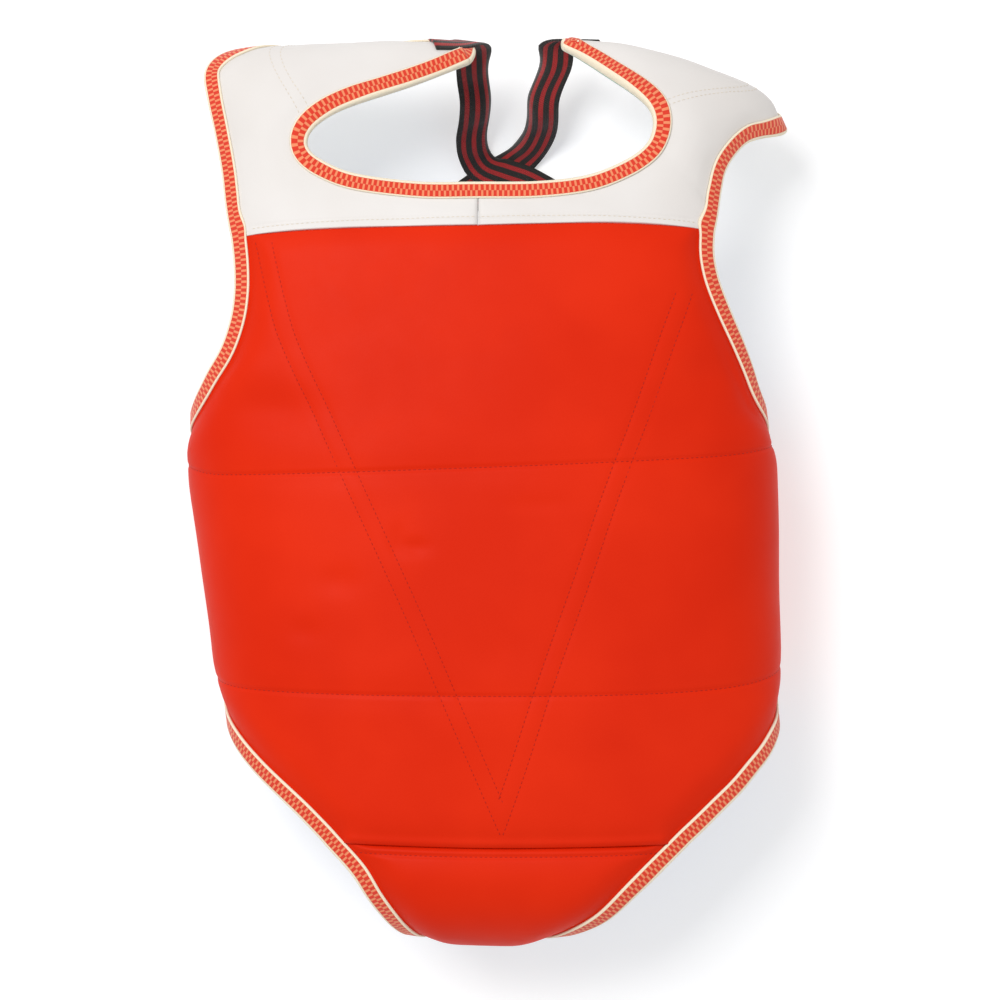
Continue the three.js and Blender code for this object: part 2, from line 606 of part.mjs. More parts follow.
// Sets the first and last two columns on the wings' back edges and the binding's width in from them.
function squareWingEnds(grid) {
  const last = grid.length - 1;
  const columns = grid[0].length - 1;
  const corner = (WING_CORNER * Math.SQRT1_2) / TORSO_LENGTH;
  for (const [side, edge, inner] of [['left', 0, 1], ['right', columns, columns - 1]]) {
    const sign = signOf(side);
    const first = low[side].edge[0].along + corner;
    const end = high[side].edge[0].along - corner;
    for (let i = 1; i < last; i += 1) {
      const along = mix(first, end, (i - 1) / (last - 2));
      grid[i][edge] = bodyVertex(sign * wingEnd, along);
      grid[i][inner] = bodyVertex(sign * (wingEnd - BINDING_WIDTH / WIDEST_HEIGHT), along);
    }
    for (const [row, places] of [[1, low], [last - 1, high]]) {
      grid[row][inner] = bodyVertex(places[side].inset[0].across, places[side].inset[0].along);
    }
  }
}

const { grid: torso, channels } = torsoGrid();
const torsoRows = torso.length - 1;
const torsoColumns = torso[0].length - 1;

// Stations of the torso's trimmed edges. Each pairs an edge vertex with its inner partner.
function torsoStations(side, edgeRow, insetRow) {
  const stations = [];
  for (let k = 0; k < EDGE_COUNT; k += 1) {
    const column = side === 'left' ? k : torsoColumns - k;
    const inner = k === 0 ? (side === 'left' ? 1 : torsoColumns - 1) : column;
    stations.push({ edge: torso[edgeRow][column], inset: torso[insetRow][inner] });
  }
  return stations;
}

function wingStations(side) {
  const edge = side === 'left' ? 0 : torsoColumns;
  const inner = side === 'left' ? 1 : torsoColumns - 1;
  return torso.slice(1, torsoRows).map((row) => ({ edge: row[edge], inset: row[inner] }));
}

const torsoEdges = Object.fromEntries(
  SIDES.map((side) => [
    side,
    {
      low: torsoStations(side, 0, 1),
      wing: wingStations(side),
      high: torsoStations(side, torsoRows, torsoRows - 1),
    },
  ]),
);

// Vertices of a seam row between its two bound ends.
const seamVertices = (row) => row.slice(EDGE_COUNT - 1, torsoColumns - EDGE_COUNT + 2);

// Swells the torso and presses its channels and trimmed edges down.
function shapeTorso() {
  const rim = SIDES.map((side) => {
    const { low: lowStations, wing, high: highStations } = torsoEdges[side];
    return [...[...lowStations].reverse(), ...wing, ...highStations].map((station) => station.edge);
  });
  const seams = [seamVertices(torso[0]), seamVertices(torso[torsoRows])];
  const nearest = (vertex) => Math.min(...rim.map((line) => distanceTo(line, vertex.point)));
  const fromRims = torso.flat().map(nearest);
  swell(torso, rim[0], seams, PAD_THICKNESS);
  torso.flat().forEach((vertex, index) => {
    const swollen = smooth((fromRims[index] - BINDING_WIDTH) / EDGE_TAPER);
    vertex.half = Math.min(vertex.half, mix(INSET_THICKNESS, PAD_THICKNESS, swollen) / 2);
  });
  for (const vertex of channels.flat()) {
    const swollen = (2 * vertex.half - INSET_THICKNESS) / (PAD_THICKNESS - INSET_THICKNESS);
    vertex.half -= (CHANNEL_DEPTH / 2) * clamp01(swollen);
  }
  for (const side of SIDES) Object.values(torsoEdges[side]).forEach(trimEdge);
}
shapeTorso();

// The lower flap

const flapLength = FLAP_STRAIGHT + FLAP_BEND_RADIUS * FLAP_BEND_ANGLE;
const lip = seamVertices(torso[0]);

// How far the flap reaches down the body and how far it has dropped, at a distance below the lip.
function flapBend(distance) {
  const straight = Math.min(distance, FLAP_STRAIGHT);
  const angle = FLAP_ENTRY_ANGLE + Math.max(distance - FLAP_STRAIGHT, 0) / FLAP_BEND_RADIUS;
  const arc = FLAP_BEND_RADIUS;
  return {
    reach: straight * Math.cos(FLAP_ENTRY_ANGLE) + arc * (Math.sin(angle) - Math.sin(FLAP_ENTRY_ANGLE)),
    drop: straight * Math.sin(FLAP_ENTRY_ANGLE) + arc * (Math.cos(FLAP_ENTRY_ANGLE) - Math.cos(angle)),
  };
}

// The across value of the body's middle surface at a distance from the centre plane.
function acrossAt(x, along) {
  const middle = HALF_WIDTH * readTable(BODY_SECTIONS, 'middle', 'along', along);
  const column = x < middle ? 'left' : 'right';
  const reach = HALF_WIDTH * readTable(BODY_SECTIONS, column, 'along', along) - PAD_THICKNESS / 2;
  const share = Math.min(Math.abs(x - middle) / reach, 1);
  const height = (1 - share ** ROUNDNESS) ** (1 / ROUNDNESS);
  return (Math.sign(x - middle) * Math.atan2(share, height)) / (Math.PI / 2);
}

// The flap's middle surface: x across it, and a distance below the lip along its bend.
function flapPoint(x, distance) {
  const across = acrossAt(x, 0);
  const start = bodyPoint(across, readTable(LIP, 'along', 'across', across));
  const { reach, drop } = flapBend(distance);
  return new THREE.Vector3(start.x, start.y - reach, start.z - drop);
}

function flapVertex(x, distance) {
  const surface = (u, v) => flapPoint(u, v);
  return { point: flapPoint(x, distance), normal: normalOf(surface, x, distance, 0.05).negate(), half: 0 };
}

// The flap's sides at a distance below the lip: the trimmed edge, and the binding's width in from it.
function flapSides(distance) {
  const side = (column, start) => {
    const width = (at) => start * readTable(FLAP_SECTIONS, column, 'down', at / flapLength);
    const slant = width(distance + 1) - width(distance);
    const inset = width(distance) - Math.sign(start) * BINDING_WIDTH * Math.hypot(1, slant);
    return { edge: width(distance), inset };
  };
  return { left: side('left', lip[0].point.x), right: side('right', lip.at(-1).point.x) };
}

const FLAP_DISTANCES = [0.14, 0.28, 0.42, 0.54, 0.66, 0.78];

// The flap's grid. Its rows run from the lip down, its columns from right to left.
function flapGrid() {
  const first = lip[1].point.x;
  const shares = lip.slice(1, -1).map((vertex) => (vertex.point.x - first) / (lip.at(-2).point.x - first));
  const clear = (vertex) => ({ ...vertex, point: vertex.point.clone().setY(vertex.point.y - CLEARANCE) });
  const grid = [lip.map(clear)];
  const insetRow = flapLength - BINDING_WIDTH;
  for (const distance of [...FLAP_DISTANCES.map((share) => share * flapLength), insetRow, flapLength]) {
    const { left, right } = flapSides(distance);
    const inner = shares.map((share) => flapVertex(mix(left.inset, right.inset, share), distance));
    grid.push([flapVertex(left.edge, distance), ...inner, flapVertex(right.edge, distance)]);
  }
  const last = grid.length - 1;
  const columns = grid[0].length - 1;
  roundCorner(grid, [last, 0], [last, 1], [last - 1, 0]);
  roundCorner(grid, [last, columns], [last, columns - 1], [last - 1, columns]);
  return grid.map((row) => row.reverse());
}

// Draws a corner vertex in towards the chord of its two neighbours, as a rounded corner does.
function roundCorner(grid, corner, beside, along) {
  const at = ([row, column]) => grid[row][column].point;
  const pull = (1 - Math.SQRT1_2) / 2;
  const moved = at(corner).clone().multiplyScalar(1 - 2 * pull);
  moved.addScaledVector(at(beside), pull).addScaledVector(at(along), pull);
  at(corner).copy(moved);
}

const flap = flapGrid();
const flapRows = flap.length - 1;
const flapColumns = flap[0].length - 1;

// Stations round the flap from its left side to its right side.
function flapStations() {
  const pair = (edge, inset) => (row) => ({ edge: row[edge], inset: row[inset] });
  const side = (edge, inset) => flap.slice(1, flapRows).map(pair(edge, inset));
  const end = flap[flapRows].map((edge, column) => {
    const inner = Math.min(Math.max(column, 1), flapColumns - 1);
    return { edge, inset: flap[flapRows - 1][inner] };
  });
  return [...side(flapColumns, flapColumns - 1), ...end.reverse(), ...side(0, 1).reverse()];
}
const flapEdge = flapStations();

function shapeFlap() {
  const rim = [{ edge: flap[0].at(-1) }, ...flapEdge, { edge: flap[0][0] }].map((station) => station.edge);
  swell(flap, rim, [flap[0]], PAD_THICKNESS);
  trimEdge(flapEdge);
  flap[0].forEach((vertex, column) => {
    vertex.half = lip[flapColumns - column].half;
  });
}
shapeFlap();

// The yoke halves

const seamY = bodyPoint(0, 1).y;
const LAST_SECTION = YOKE_SECTIONS.left.length - 1;

// A point of a yoke table, from its shares.
const yokePlace = ([across, rise, up]) =>
  new THREE.Vector3(across * HALF_WIDTH, seamY + rise * YOKE_RISE, up * CROWN_HEIGHT);

// A smooth line through points, read by row number.
function lineThrough(points, firstRow) {
  const rows = points.map((point, index) => ({ row: firstRow + index, x: point.x, y: point.y, z: point.z }));
  return (row) => new THREE.Vector3(...['x', 'y', 'z'].map((axis) => readTable(rows, axis, 'row', row)));
}

// One yoke half as a surface: section runs from the centre seam to the flap's tip, and share from the neck
// edge to the outer edge.
function yokeSurface(side) {
  const sections = YOKE_SECTIONS[side];
  const seamEnd = torsoEdges[side].high.at(-1).edge;
  const gap = signOf(side) * (CLEARANCE / 2);
  const onSeam = (section) => {
    const across = (seamEnd.across * section) / SEAM_ROWS;
    const point = bodyPoint(across, readTable(YOKE_SEAM, 'along', 'across', across));
    return point.setY(point.y + CLEARANCE);
  };
  const neckLine = lineThrough(sections.map((row) => yokePlace(row.neck)), 0);
  const outerPoints = sections.slice(SEAM_ROWS).map((row) => yokePlace(row.outer));
  outerPoints[0] = onSeam(SEAM_ROWS);
  const outerLine = lineThrough(outerPoints, SEAM_ROWS);
  const outer = (section) => (section <= SEAM_ROWS ? onSeam(section) : outerLine(section));
  const ridges = sections.map((row, index) =>
    row.ridge ? yokePlace(row.ridge) : neckLine(index).lerp(onSeam(index), 0.5),
  );
  const ridgeLine = lineThrough(ridges, 0);
  return (section, share) => {
    const point = neckLine(section).multiplyScalar((1 - share) * (1 - 2 * share));
    point.addScaledVector(ridgeLine(section), 4 * share * (1 - share));
    point.addScaledVector(outer(section), share * (2 * share - 1));
    return point.setX(point.x + gap * clamp01(1 - section));
  };
}

const yokeSurfaces = Object.fromEntries(SIDES.map((side) => [side, yokeSurface(side)]));

function yokeNormal(side, section, share) {
  const surface = yokeSurfaces[side];
  const inside = (value, least, most) => Math.min(Math.max(value, least), most);
  const u = inside(section, 0.01, LAST_SECTION - 0.01);
  const v = inside(share, 0.01, 0.99);
  const normal = normalOf(surface, u, v, 0.005);
  return side === 'left' ? normal : normal.negate();
}

// The share of a section that lies the binding's width in from one of its ends, square to the edge.
function insetShare(surface, section, fromShare) {
  const direction = fromShare === 0 ? 1 : -1;
  const end = surface(section, fromShare);
  const before = surface(Math.max(section - 0.05, 0), fromShare);
  const edge = surface(Math.min(section + 0.05, LAST_SECTION), fromShare).sub(before).normalize();
  const trial = surface(section, fromShare + 0.1 * direction).sub(end);
  const sine = Math.max(trial.clone().normalize().cross(edge).length(), 0.6);
  let share = fromShare;
  const tooNear = () => surface(section, share).distanceTo(end) < BINDING_WIDTH / sine;
  while (tooNear() && Math.abs(share - fromShare) < 0.42) share += 0.002 * direction;
  return share;
}

const YOKE_COLUMNS = 5; // vertices between the two inner edges of the binding

// Section numbers of a yoke half's stations: the torso's own on the seam, then even steps to the tip.
function yokeStations(side) {
  const seam = seamVertices(torso[torsoRows]);
  const centre = (seam.length - 1) / 2;
  const half = side === 'left' ? seam.slice(0, centre + 1).reverse() : seam.slice(centre);
  const end = half.at(-1).across;
  const stations = half.map((vertex) => (SEAM_ROWS * vertex.across) / end);
  const surface = yokeSurfaces[side];
  let tipInset = LAST_SECTION;
  while (surface(tipInset, 0.5).distanceTo(surface(LAST_SECTION, 0.5)) < BINDING_WIDTH) tipInset -= 0.01;
  const steps = Math.floor((tipInset - SEAM_ROWS) / 0.5);
  for (let k = 1; k < steps; k += 1) stations.push(mix(SEAM_ROWS, tipInset, k / steps));
  return [...stations, tipInset, LAST_SECTION];
}

// A yoke half's grid. Its rows run from the centre seam to the tip, its columns from the neck edge outwards.
function yokeGrid(side) {
  const surface = yokeSurfaces[side];
  const seamRow = seamVertices(torso[torsoRows]);
  const centre = (seamRow.length - 1) / 2;
  const sections = yokeStations(side);
  const grid = sections.map((section, row) => {
    const first = insetShare(surface, section, 0);
    const last = insetShare(surface, section, 1);
    const inner = (_, k) => mix(first, last, k / (YOKE_COLUMNS + 1));
    return [0, ...Array.from({ length: YOKE_COLUMNS + 2 }, inner), 1].map((share) => {
      const onSeam = share === 1 && section <= SEAM_ROWS;
      const twin = onSeam ? seamRow[centre + signOf(side) * row] : null;
      const point = surface(section, share);
      return { point, normal: twin ? twin.normal : yokeNormal(side, section, share), half: 0, twin };
    });
  });
  const seamEnd = sections.findIndex((section) => section >= SEAM_ROWS - 1e-6);
  grid[seamEnd][YOKE_COLUMNS + 2] = grid[seamEnd - 1].at(-1);
  const end = grid.length - 1;
  const columns = grid[0].length - 1;
  roundCorner(grid, [end, 0], [end, 1], [end - 1, 0]);
  roundCorner(grid, [end, columns], [end, columns - 1], [end - 1, columns]);
  return { grid, seamEnd };
}

// Stations of a yoke half: its neck edge from the centre out, and its tip and outer edge from the tip back.
function yokeEdges({ grid, seamEnd }) {
  const end = grid.length - 1;
  const columns = grid[0].length - 1;
  const neck = grid.slice(0, end).map((row) => ({ edge: row[0], inset: row[1] }));
  const tip = grid[end].map((edge, column) => ({
    edge,
    inset: grid[end - 1][Math.min(Math.max(column, 1), columns - 1)],
  }));
  const side = grid.slice(seamEnd + 1, end).map((row) => ({ edge: row[columns], inset: row[columns - 1] }));
  return { neck, outer: [neck[end - 1], ...tip, ...side.reverse()] };
}

function shapeYoke(half, edges) {
  const { grid, seamEnd } = half;
  const rim = [...edges.neck, ...edges.outer].map((station) => station.edge).concat(grid[seamEnd].at(-1));
  const seam = grid.slice(0, seamEnd + 1).map((row) => row.at(-1));
  swell(grid, rim, [seam, grid[0]], YOKE_THICKNESS);
  trimEdge([...edges.neck, ...edges.outer]);
  for (const vertex of grid.flat()) {
    if (vertex.twin) vertex.half = vertex.twin.half;
  }
}

const yokes = Object.fromEntries(SIDES.map((side) => [side, yokeGrid(side)]));
const yokeRims = Object.fromEntries(SIDES.map((side) => [side, yokeEdges(yokes[side])]));
SIDES.forEach((side) => shapeYoke(yokes[side], yokeRims[side]));

// The folded binding

// The binding's section at a station, as places outwards from the edge and up from the middle surface. The
// first FOLD_POINTS run round the outside of the fold and the rest back along its inside.
const FOLD_POINTS = 6;
function foldSection({ edge, inset }) {
  const outwards = edge.point.clone().sub(inset.point);
  outwards.addScaledVector(edge.normal, -outwards.dot(edge.normal)).normalize();
  const at = (vertex, out, up) =>
    vertex.point.clone().addScaledVector(outwards, out).addScaledVector(vertex.normal, up);
  const fold = FOLD_CLEARANCE + TAPE_THICKNESS;
  const back = CLEARANCE;
  const half = [
    at(inset, back, inset.half + fold),
    at(edge, 0, edge.half + fold),
    at(edge, fold, (edge.half + fold) * 0.46),
  ];
  const mirrored = [
    at(edge, fold, -(edge.half + fold) * 0.46),
    at(edge, 0, -(edge.half + fold)),
    at(inset, back, -(inset.half + fold)),
  ];
  const inside = [
    at(inset, back, -(inset.half + FOLD_CLEARANCE)),
    at(edge, FOLD_CLEARANCE, -(edge.half + FOLD_CLEARANCE)),
    at(edge, FOLD_CLEARANCE, edge.half + FOLD_CLEARANCE),
    at(inset, back, inset.half + FOLD_CLEARANCE),
  ];
  return [...half, ...mirrored, ...inside];
}

// A station moved a little towards its neighbour, so that two bindings end clear of each other.
function shortened(station, neighbour) {
  const step = (from, to) => {
    const reach = Math.max(from.point.distanceTo(to.point), CLEARANCE);
    return { ...from, point: from.point.clone().lerp(to.point, CLEARANCE / reach) };
  };
  return { edge: step(station.edge, neighbour.edge), inset: step(station.inset, neighbour.inset) };
}

// A closed strip of folded tape along a run of stations.
function bindingMesh(name, run) {
  const stations = [shortened(run[0], run[1]), ...run.slice(1, -1), shortened(run.at(-1), run.at(-2))];
  const rings = stations.map(foldSection);
  const solid = new SolidBuilder();
  const count = rings[0].length;
  const along = new THREE.Vector3().subVectors(stations[1].edge.point, stations[0].edge.point);
  const across = new THREE.Vector3().subVectors(stations[0].edge.point, stations[0].inset.point);
  const forward = along.dot(across.cross(stations[0].edge.normal)) < 0;
  const corners = (a, b, c, d, split) => {
    if (forward) solid.quad(a, b, c, d, split);
    else solid.quad(d, c, b, a, !split);
  };
  for (let k = 0; k + 1 < rings.length; k += 1) {
    const [from, to] = [run[k], run[k + 1]];
    const split = shorterIsAC(from.inset, from.edge, to.edge, to.inset);
    for (let m = 0; m < count; m += 1) {
      const next = (m + 1) % count;
      const fromInset = m === 0 || m === FOLD_POINTS;
      corners(rings[k][m], rings[k][next], rings[k + 1][next], rings[k + 1][m], fromInset ? split : !split);
    }
  }
  const cap = (ring, flip) => {
    const [a, b, c, d, e, f, g, h, i, j] = ring;
    const faces = [[a, b, i, j], [b, c, d, i], [d, e, h, i], [e, f, g, h]];
    for (const [p, q, r, s] of faces) (flip === forward ? solid.quad(s, r, q, p) : solid.quad(p, q, r, s));
  };
  cap(rings[0], true);
  cap(rings.at(-1), false);
  return solid.mesh(name, COLOURS.tape, 0.7);
}

// The straps

// A closed strip of webbing along a route.
function strapMesh(name, route) {
  const points = route.map((row) => yokePlace([row.across, row.rise, row.up]));
  const line = lineThrough(points, 0);
  const sideLine = lineThrough(route.map((row) => new THREE.Vector3(...row.side)), 0);
  const last = route.length - 1;
  const rings = Array.from({ length: last * STRAP_STEPS + 1 }, (_, k) => {
    const place = k / STRAP_STEPS;
    const tangent = line(Math.min(place + 0.05, last)).sub(line(Math.max(place - 0.05, 0)));
    const side = sideLine(place).normalize();
    const up = tangent.cross(side).setLength(STRAP_THICKNESS / 2);
    side.multiplyScalar(STRAP_WIDTH / 2);
    const corner = (across, above) => line(place).addScaledVector(side, across).addScaledVector(up, above);
    return [corner(-1, 1), corner(1, 1), corner(1, -1), corner(-1, -1)];
  });
  const solid = new SolidBuilder();
  for (let k = 0; k + 1 < rings.length; k += 1) {
    for (let m = 0; m < 4; m += 1) {
      const next = (m + 1) % 4;
      solid.quad(rings[k][next], rings[k][m], rings[k + 1][m], rings[k + 1][next]);
    }
  }
  solid.quad(...rings[0]);
  solid.quad(...[...rings.at(-1)].reverse());
  return solid.mesh(name, COLOURS.webbing, 0.8);
}

// The whole guard

const armholeRun = (side) => [...yokeRims[side].outer, ...torsoEdges[side].high.slice(1).reverse()];
const wingRun = (side) => {
  const { low: lowStations, wing, high: highStations } = torsoEdges[side];
  return [lowStations[1], lowStations[0], ...wing, highStations[0], highStations[1]];
};
const neckRun = [...yokeRims.left.neck.slice().reverse(), ...yokeRims.right.neck.slice(1)];
const hemRun = [...torsoEdges.left.low.slice(1), ...flapEdge, ...torsoEdges.right.low.slice(1).reverse()];

const flipColumns = (grid) => grid.map((row) => [...row].reverse());

const guard = new THREE.Group();
guard.add(
  padMesh('torso_pad', torso, COLOURS.red),
  padMesh('lower_flap', flap, COLOURS.red),
  padMesh('yoke_left', flipColumns(yokes.left.grid), COLOURS.white),
  padMesh('yoke_right', yokes.right.grid, COLOURS.white),
  bindingMesh('neck_binding', neckRun),
  bindingMesh('hem_binding', hemRun),
);
for (const side of SIDES) {
  guard.add(bindingMesh(`armhole_binding_${side}`, armholeRun(side)));
  guard.add(bindingMesh(`wing_binding_${side}`, wingRun(side)));
  guard.add(strapMesh(`strap_${side}`, STRAP_ROUTES[side]));
}

export default guard;
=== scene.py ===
"""Dresses a reversible padded chest guard that lies chest up on a pale floor.

The guard is red vinyl over foam with a white yoke. Woven tape is folded over its edges, and striped
webbing straps cross in its neck opening. Lengths are in metres, +Y towards the neck and +Z up. Tables of
places on the guard give across as 0 at the middle of the chest, 1 where the side is widest and 2 at the
floor, and along as 0 at the stitched lip and 1 at the yoke seam.
"""

import logging
import math
from dataclasses import dataclass
from enum import Enum
from typing import Sequence

import bmesh
import bpy
import numpy as np
from bpy.types import Material, Mesh, Node, NodeSocket, NodeTree, Object
from mathutils import Matrix, Vector
from numpy import ndarray as Array


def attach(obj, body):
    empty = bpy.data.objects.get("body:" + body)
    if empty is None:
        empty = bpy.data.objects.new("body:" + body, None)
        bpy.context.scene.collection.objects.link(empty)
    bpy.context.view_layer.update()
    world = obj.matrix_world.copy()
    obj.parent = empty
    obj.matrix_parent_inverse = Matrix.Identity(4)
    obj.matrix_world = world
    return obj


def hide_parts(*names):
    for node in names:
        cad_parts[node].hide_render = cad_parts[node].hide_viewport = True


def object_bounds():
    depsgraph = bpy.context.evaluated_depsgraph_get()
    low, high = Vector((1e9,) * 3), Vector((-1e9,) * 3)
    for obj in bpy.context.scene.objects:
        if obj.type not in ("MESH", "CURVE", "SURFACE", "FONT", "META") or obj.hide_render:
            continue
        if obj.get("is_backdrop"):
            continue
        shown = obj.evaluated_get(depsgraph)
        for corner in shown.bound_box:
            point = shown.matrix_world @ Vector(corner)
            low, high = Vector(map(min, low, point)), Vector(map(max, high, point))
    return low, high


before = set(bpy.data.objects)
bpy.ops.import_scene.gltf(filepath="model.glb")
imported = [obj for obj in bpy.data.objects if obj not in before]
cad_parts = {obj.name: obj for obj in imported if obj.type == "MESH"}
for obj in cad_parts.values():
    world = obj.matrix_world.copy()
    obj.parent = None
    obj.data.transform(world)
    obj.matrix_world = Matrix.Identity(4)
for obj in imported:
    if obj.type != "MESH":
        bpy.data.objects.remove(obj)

MM = 0.001

log = logging.getLogger("chest_guard")


class Side(Enum):
    """The two sides of the guard, as seen from above with the neck at the top."""

    LEFT = "left"
    RIGHT = "right"

    @property
    def sign(self) -> int:
        """Returns -1 on the left and 1 on the right, as x runs."""
        return -1 if self is Side.LEFT else 1


class Slot(Enum):
    """The record's material slots."""

    RED = "red_vinyl"
    WHITE = "white_vinyl"
    TAPE = "binding_tape"
    WEBBING = "webbing"


# --- Curves and small sums ------------------------------------------------------------------------


class Curve:
    """A smooth curve through given rows, read at any place on it."""

    def __init__(self, keys: Sequence[float], values: Sequence) -> None:
        """Keeps the rows and the slope at each of them.

        Args:
            keys: The place of each row, rising.
            values: A number or a point for each row.
        """
        self.keys = np.array(keys, float)
        self.values = np.array(values, float)
        rows = np.arange(len(self.keys))
        before, after = np.maximum(rows - 1, 0), np.minimum(rows + 1, len(rows) - 1)
        gaps = self.keys[after] - self.keys[before]
        rises = self.values[after] - self.values[before]
        self.slopes = rises / gaps.reshape((-1,) + (1,) * (self.values.ndim - 1))

    def __call__(self, place: Array) -> Array:
        """Reads the curve.

        Args:
            place: One place or an array of places.

        Returns:
            The values there, with the places' shape first.
        """
        place = np.asarray(place, float)
        row = np.clip(np.searchsorted(self.keys, place, side="left") - 1, 0, len(self.keys) - 2)
        step = self.keys[row + 1] - self.keys[row]
        t = (place - self.keys[row]) / step
        if self.values.ndim > 1:
            step, t = step[..., None], t[..., None]
        start, rise = self.values[row], self.values[row + 1] - self.values[row]
        first, last = self.slopes[row] * step, self.slopes[row + 1] * step
        square, cube = 3 * rise - 2 * first - last, first + last - 2 * rise
        return start + t * (first + t * (square + t * cube))


def smooth(value: Array) -> Array:
    """Returns a value eased from 0 to 1."""
    held = np.clip(value, 0, 1)
    return held * held * (3 - 2 * held)


def mix(start: Array, end: Array, share: Array) -> Array:
    """Returns the place a share of the way from start to end."""
    return start + (end - start) * share


def unit(vectors: Array) -> Array:
    """Returns the vectors scaled to length 1."""
    return vectors / np.maximum(np.linalg.norm(vectors, axis=-1, keepdims=True), 1e-12)


def pillow(value: Array) -> Array:
    """Returns a value raised from 0 to 1, steeply at first and level at the end, as stuffed foam does."""
    return 1 - (1 - np.clip(value, 0, 1)) ** 2.2


def lesser(first: Array, second: Array, blend: float) -> Array:
    """Finds the smaller of two values, without a crease where they are alike.

    Args:
        first: The first values.
        second: The second values.
        blend: How far apart they are where the crease's rounding ends.

    Returns:
        The smaller values.
    """
    share = np.clip(0.5 + (second - first) / (2 * blend), 0, 1)
    return mix(second, first, share) - blend * share * (1 - share)


def grooves(away: Array, shapes: Sequence[tuple[float, float, float]]) -> Array:
    """Adds up the grooves along a sewn line.

    Args:
        away: Distances from the line.
        shapes: The depth, width and distance from the line of each groove, in millimetres. A welt's depth
            is below 0.

    Returns:
        How far the cover is sunk.
    """
    return sum(depth * MM * np.exp(-(((away / MM - offset) / width) ** 2)) for depth, width, offset in shapes)


def distance_to(line: Array, points: Array) -> Array:
    """Measures how far points are from a line of straight pieces.

    Args:
        line: The line's points, in order.
        points: The points, in any array shape.

    Returns:
        The distance of each point.
    """
    flat = points.reshape(-1, 3)
    least = np.full(len(flat), np.inf)
    for start, end in zip(line[:-1], line[1:]):
        piece = end - start
        share = np.clip((flat - start) @ piece / max(piece @ piece, 1e-12), 0, 1)
        away = flat - start - share[:, None] * piece
        least = np.minimum(least, np.einsum("ij,ij->i", away, away))
    return np.sqrt(least).reshape(points.shape[:-1])


def eased(count: int, pull: float = 0.6) -> Array:
    """Returns count shares from 0 up to 1, closer together near both ends."""
    t = np.arange(count) / count
    return t - pull * np.sin(2 * np.pi * t) / (2 * np.pi)


def run_along(points: Array) -> Array:
    """Returns how far along its line each point is."""
    return np.concatenate([[0], np.cumsum(np.linalg.norm(np.diff(points, axis=0), axis=1))])


def resampled(places: Array, points: Array, pitch: float) -> Array:
    """Spaces the places of a line evenly.

    Args:
        places: Rows of numbers for places along the line.
        points: The point at each place.
        pitch: The wanted spacing.

    Returns:
        Rows of numbers like places, an even step apart.
    """
    run = run_along(points)
    count = max(int(round(run[-1] / pitch)), 2)
    targets = np.linspace(0, run[-1], count + 1)
    return np.stack([np.interp(targets, run, column) for column in places.T], axis=1)


def evened(rows: Array, passes: int) -> Array:
    """Averages rows of points with their neighbours, and holds the first row and the last.

    Args:
        rows: The rows, in order.
        passes: How often they are averaged.

    Returns:
        The evened rows.
    """
    rows = rows.copy()
    for _ in range(passes):
        rows[1:-1] = (rows[:-2] + 2 * rows[1:-1] + rows[2:]) / 4
    return rows


def calmed(vectors: Array, passes: int) -> Array:
    """Evens out directions along a run.

    Args:
        vectors: One direction for each station of the run.
        passes: How often each is averaged with its neighbours.

    Returns:
        Unit directions.
    """
    for _ in range(passes):
        padded = np.concatenate([vectors[:1], vectors, vectors[-1:]])
        vectors = unit(padded[:-2] + 2 * padded[1:-1] + padded[2:])
    return vectors


def round_corner(first: Array, second: Array, radius: float) -> tuple[Array, Array]:
    """Draws a square corner in to a quarter circle.

    Args:
        first: Distances from one of the corner's edges.
        second: Distances from the other edge.
        radius: The corner's radius.

    Returns:
        The new distances from both edges.
    """
    a, b = np.clip(1 - first / radius, 0, 1), np.clip(1 - second / radius, 0, 1)
    moved_a, moved_b = a * np.sqrt(1 - b * b / 2), b * np.sqrt(1 - a * a / 2)
    return first + radius * (a - moved_a), second + radius * (b - moved_b)


# --- Middle surfaces ------------------------------------------------------------------------------


class MiddleSurface:
    """The surface half way between a pad's two faces, read by two numbers."""

    step = 1e-3
    outward = 1

    def point(self, u: Array, v: Array) -> Array:
        """Returns the points at pairs of numbers."""
        raise NotImplementedError

    def normal(self, u: Array, v: Array) -> Array:
        """Returns the unit normals that point out of the guard's outer face."""
        along_u = self.point(u + self.step, v) - self.point(u - self.step, v)
        along_v = self.point(u, v + self.step) - self.point(u, v - self.step)
        return self.outward * unit(np.cross(along_u, along_v))

    def walk(self, u: Array, v: Array, way: Array, reach: float) -> Sequence[Array]:
        """Steps over the surface from places on it.

        Args:
            u: The places' first numbers.
            v: Their second numbers.
            way: The direction of each walk.
            reach: Its length.

        Returns:
            The two numbers of each place that a walk ends on.
        """
        legs = 4
        for _ in range(legs if reach > 0 else 0):
            here = self.point(u, v)
            per_u = (self.point(u + self.step, v) - here) / self.step
            per_v = (self.point(u, v + self.step) - here) / self.step
            normal = unit(np.cross(per_u, per_v))
            move = unit(way - normal * np.sum(way * normal, -1, keepdims=True)) * (reach / legs)
            uu, uv, vv = np.sum(per_u**2, -1), np.sum(per_u * per_v, -1), np.sum(per_v**2, -1)
            mu, mv = np.sum(move * per_u, -1), np.sum(move * per_v, -1)
            det = uu * vv - uv * uv
            u, v = u + (mu * vv - mv * uv) / det, v + (mv * uu - mu * uv) / det
        return u, v


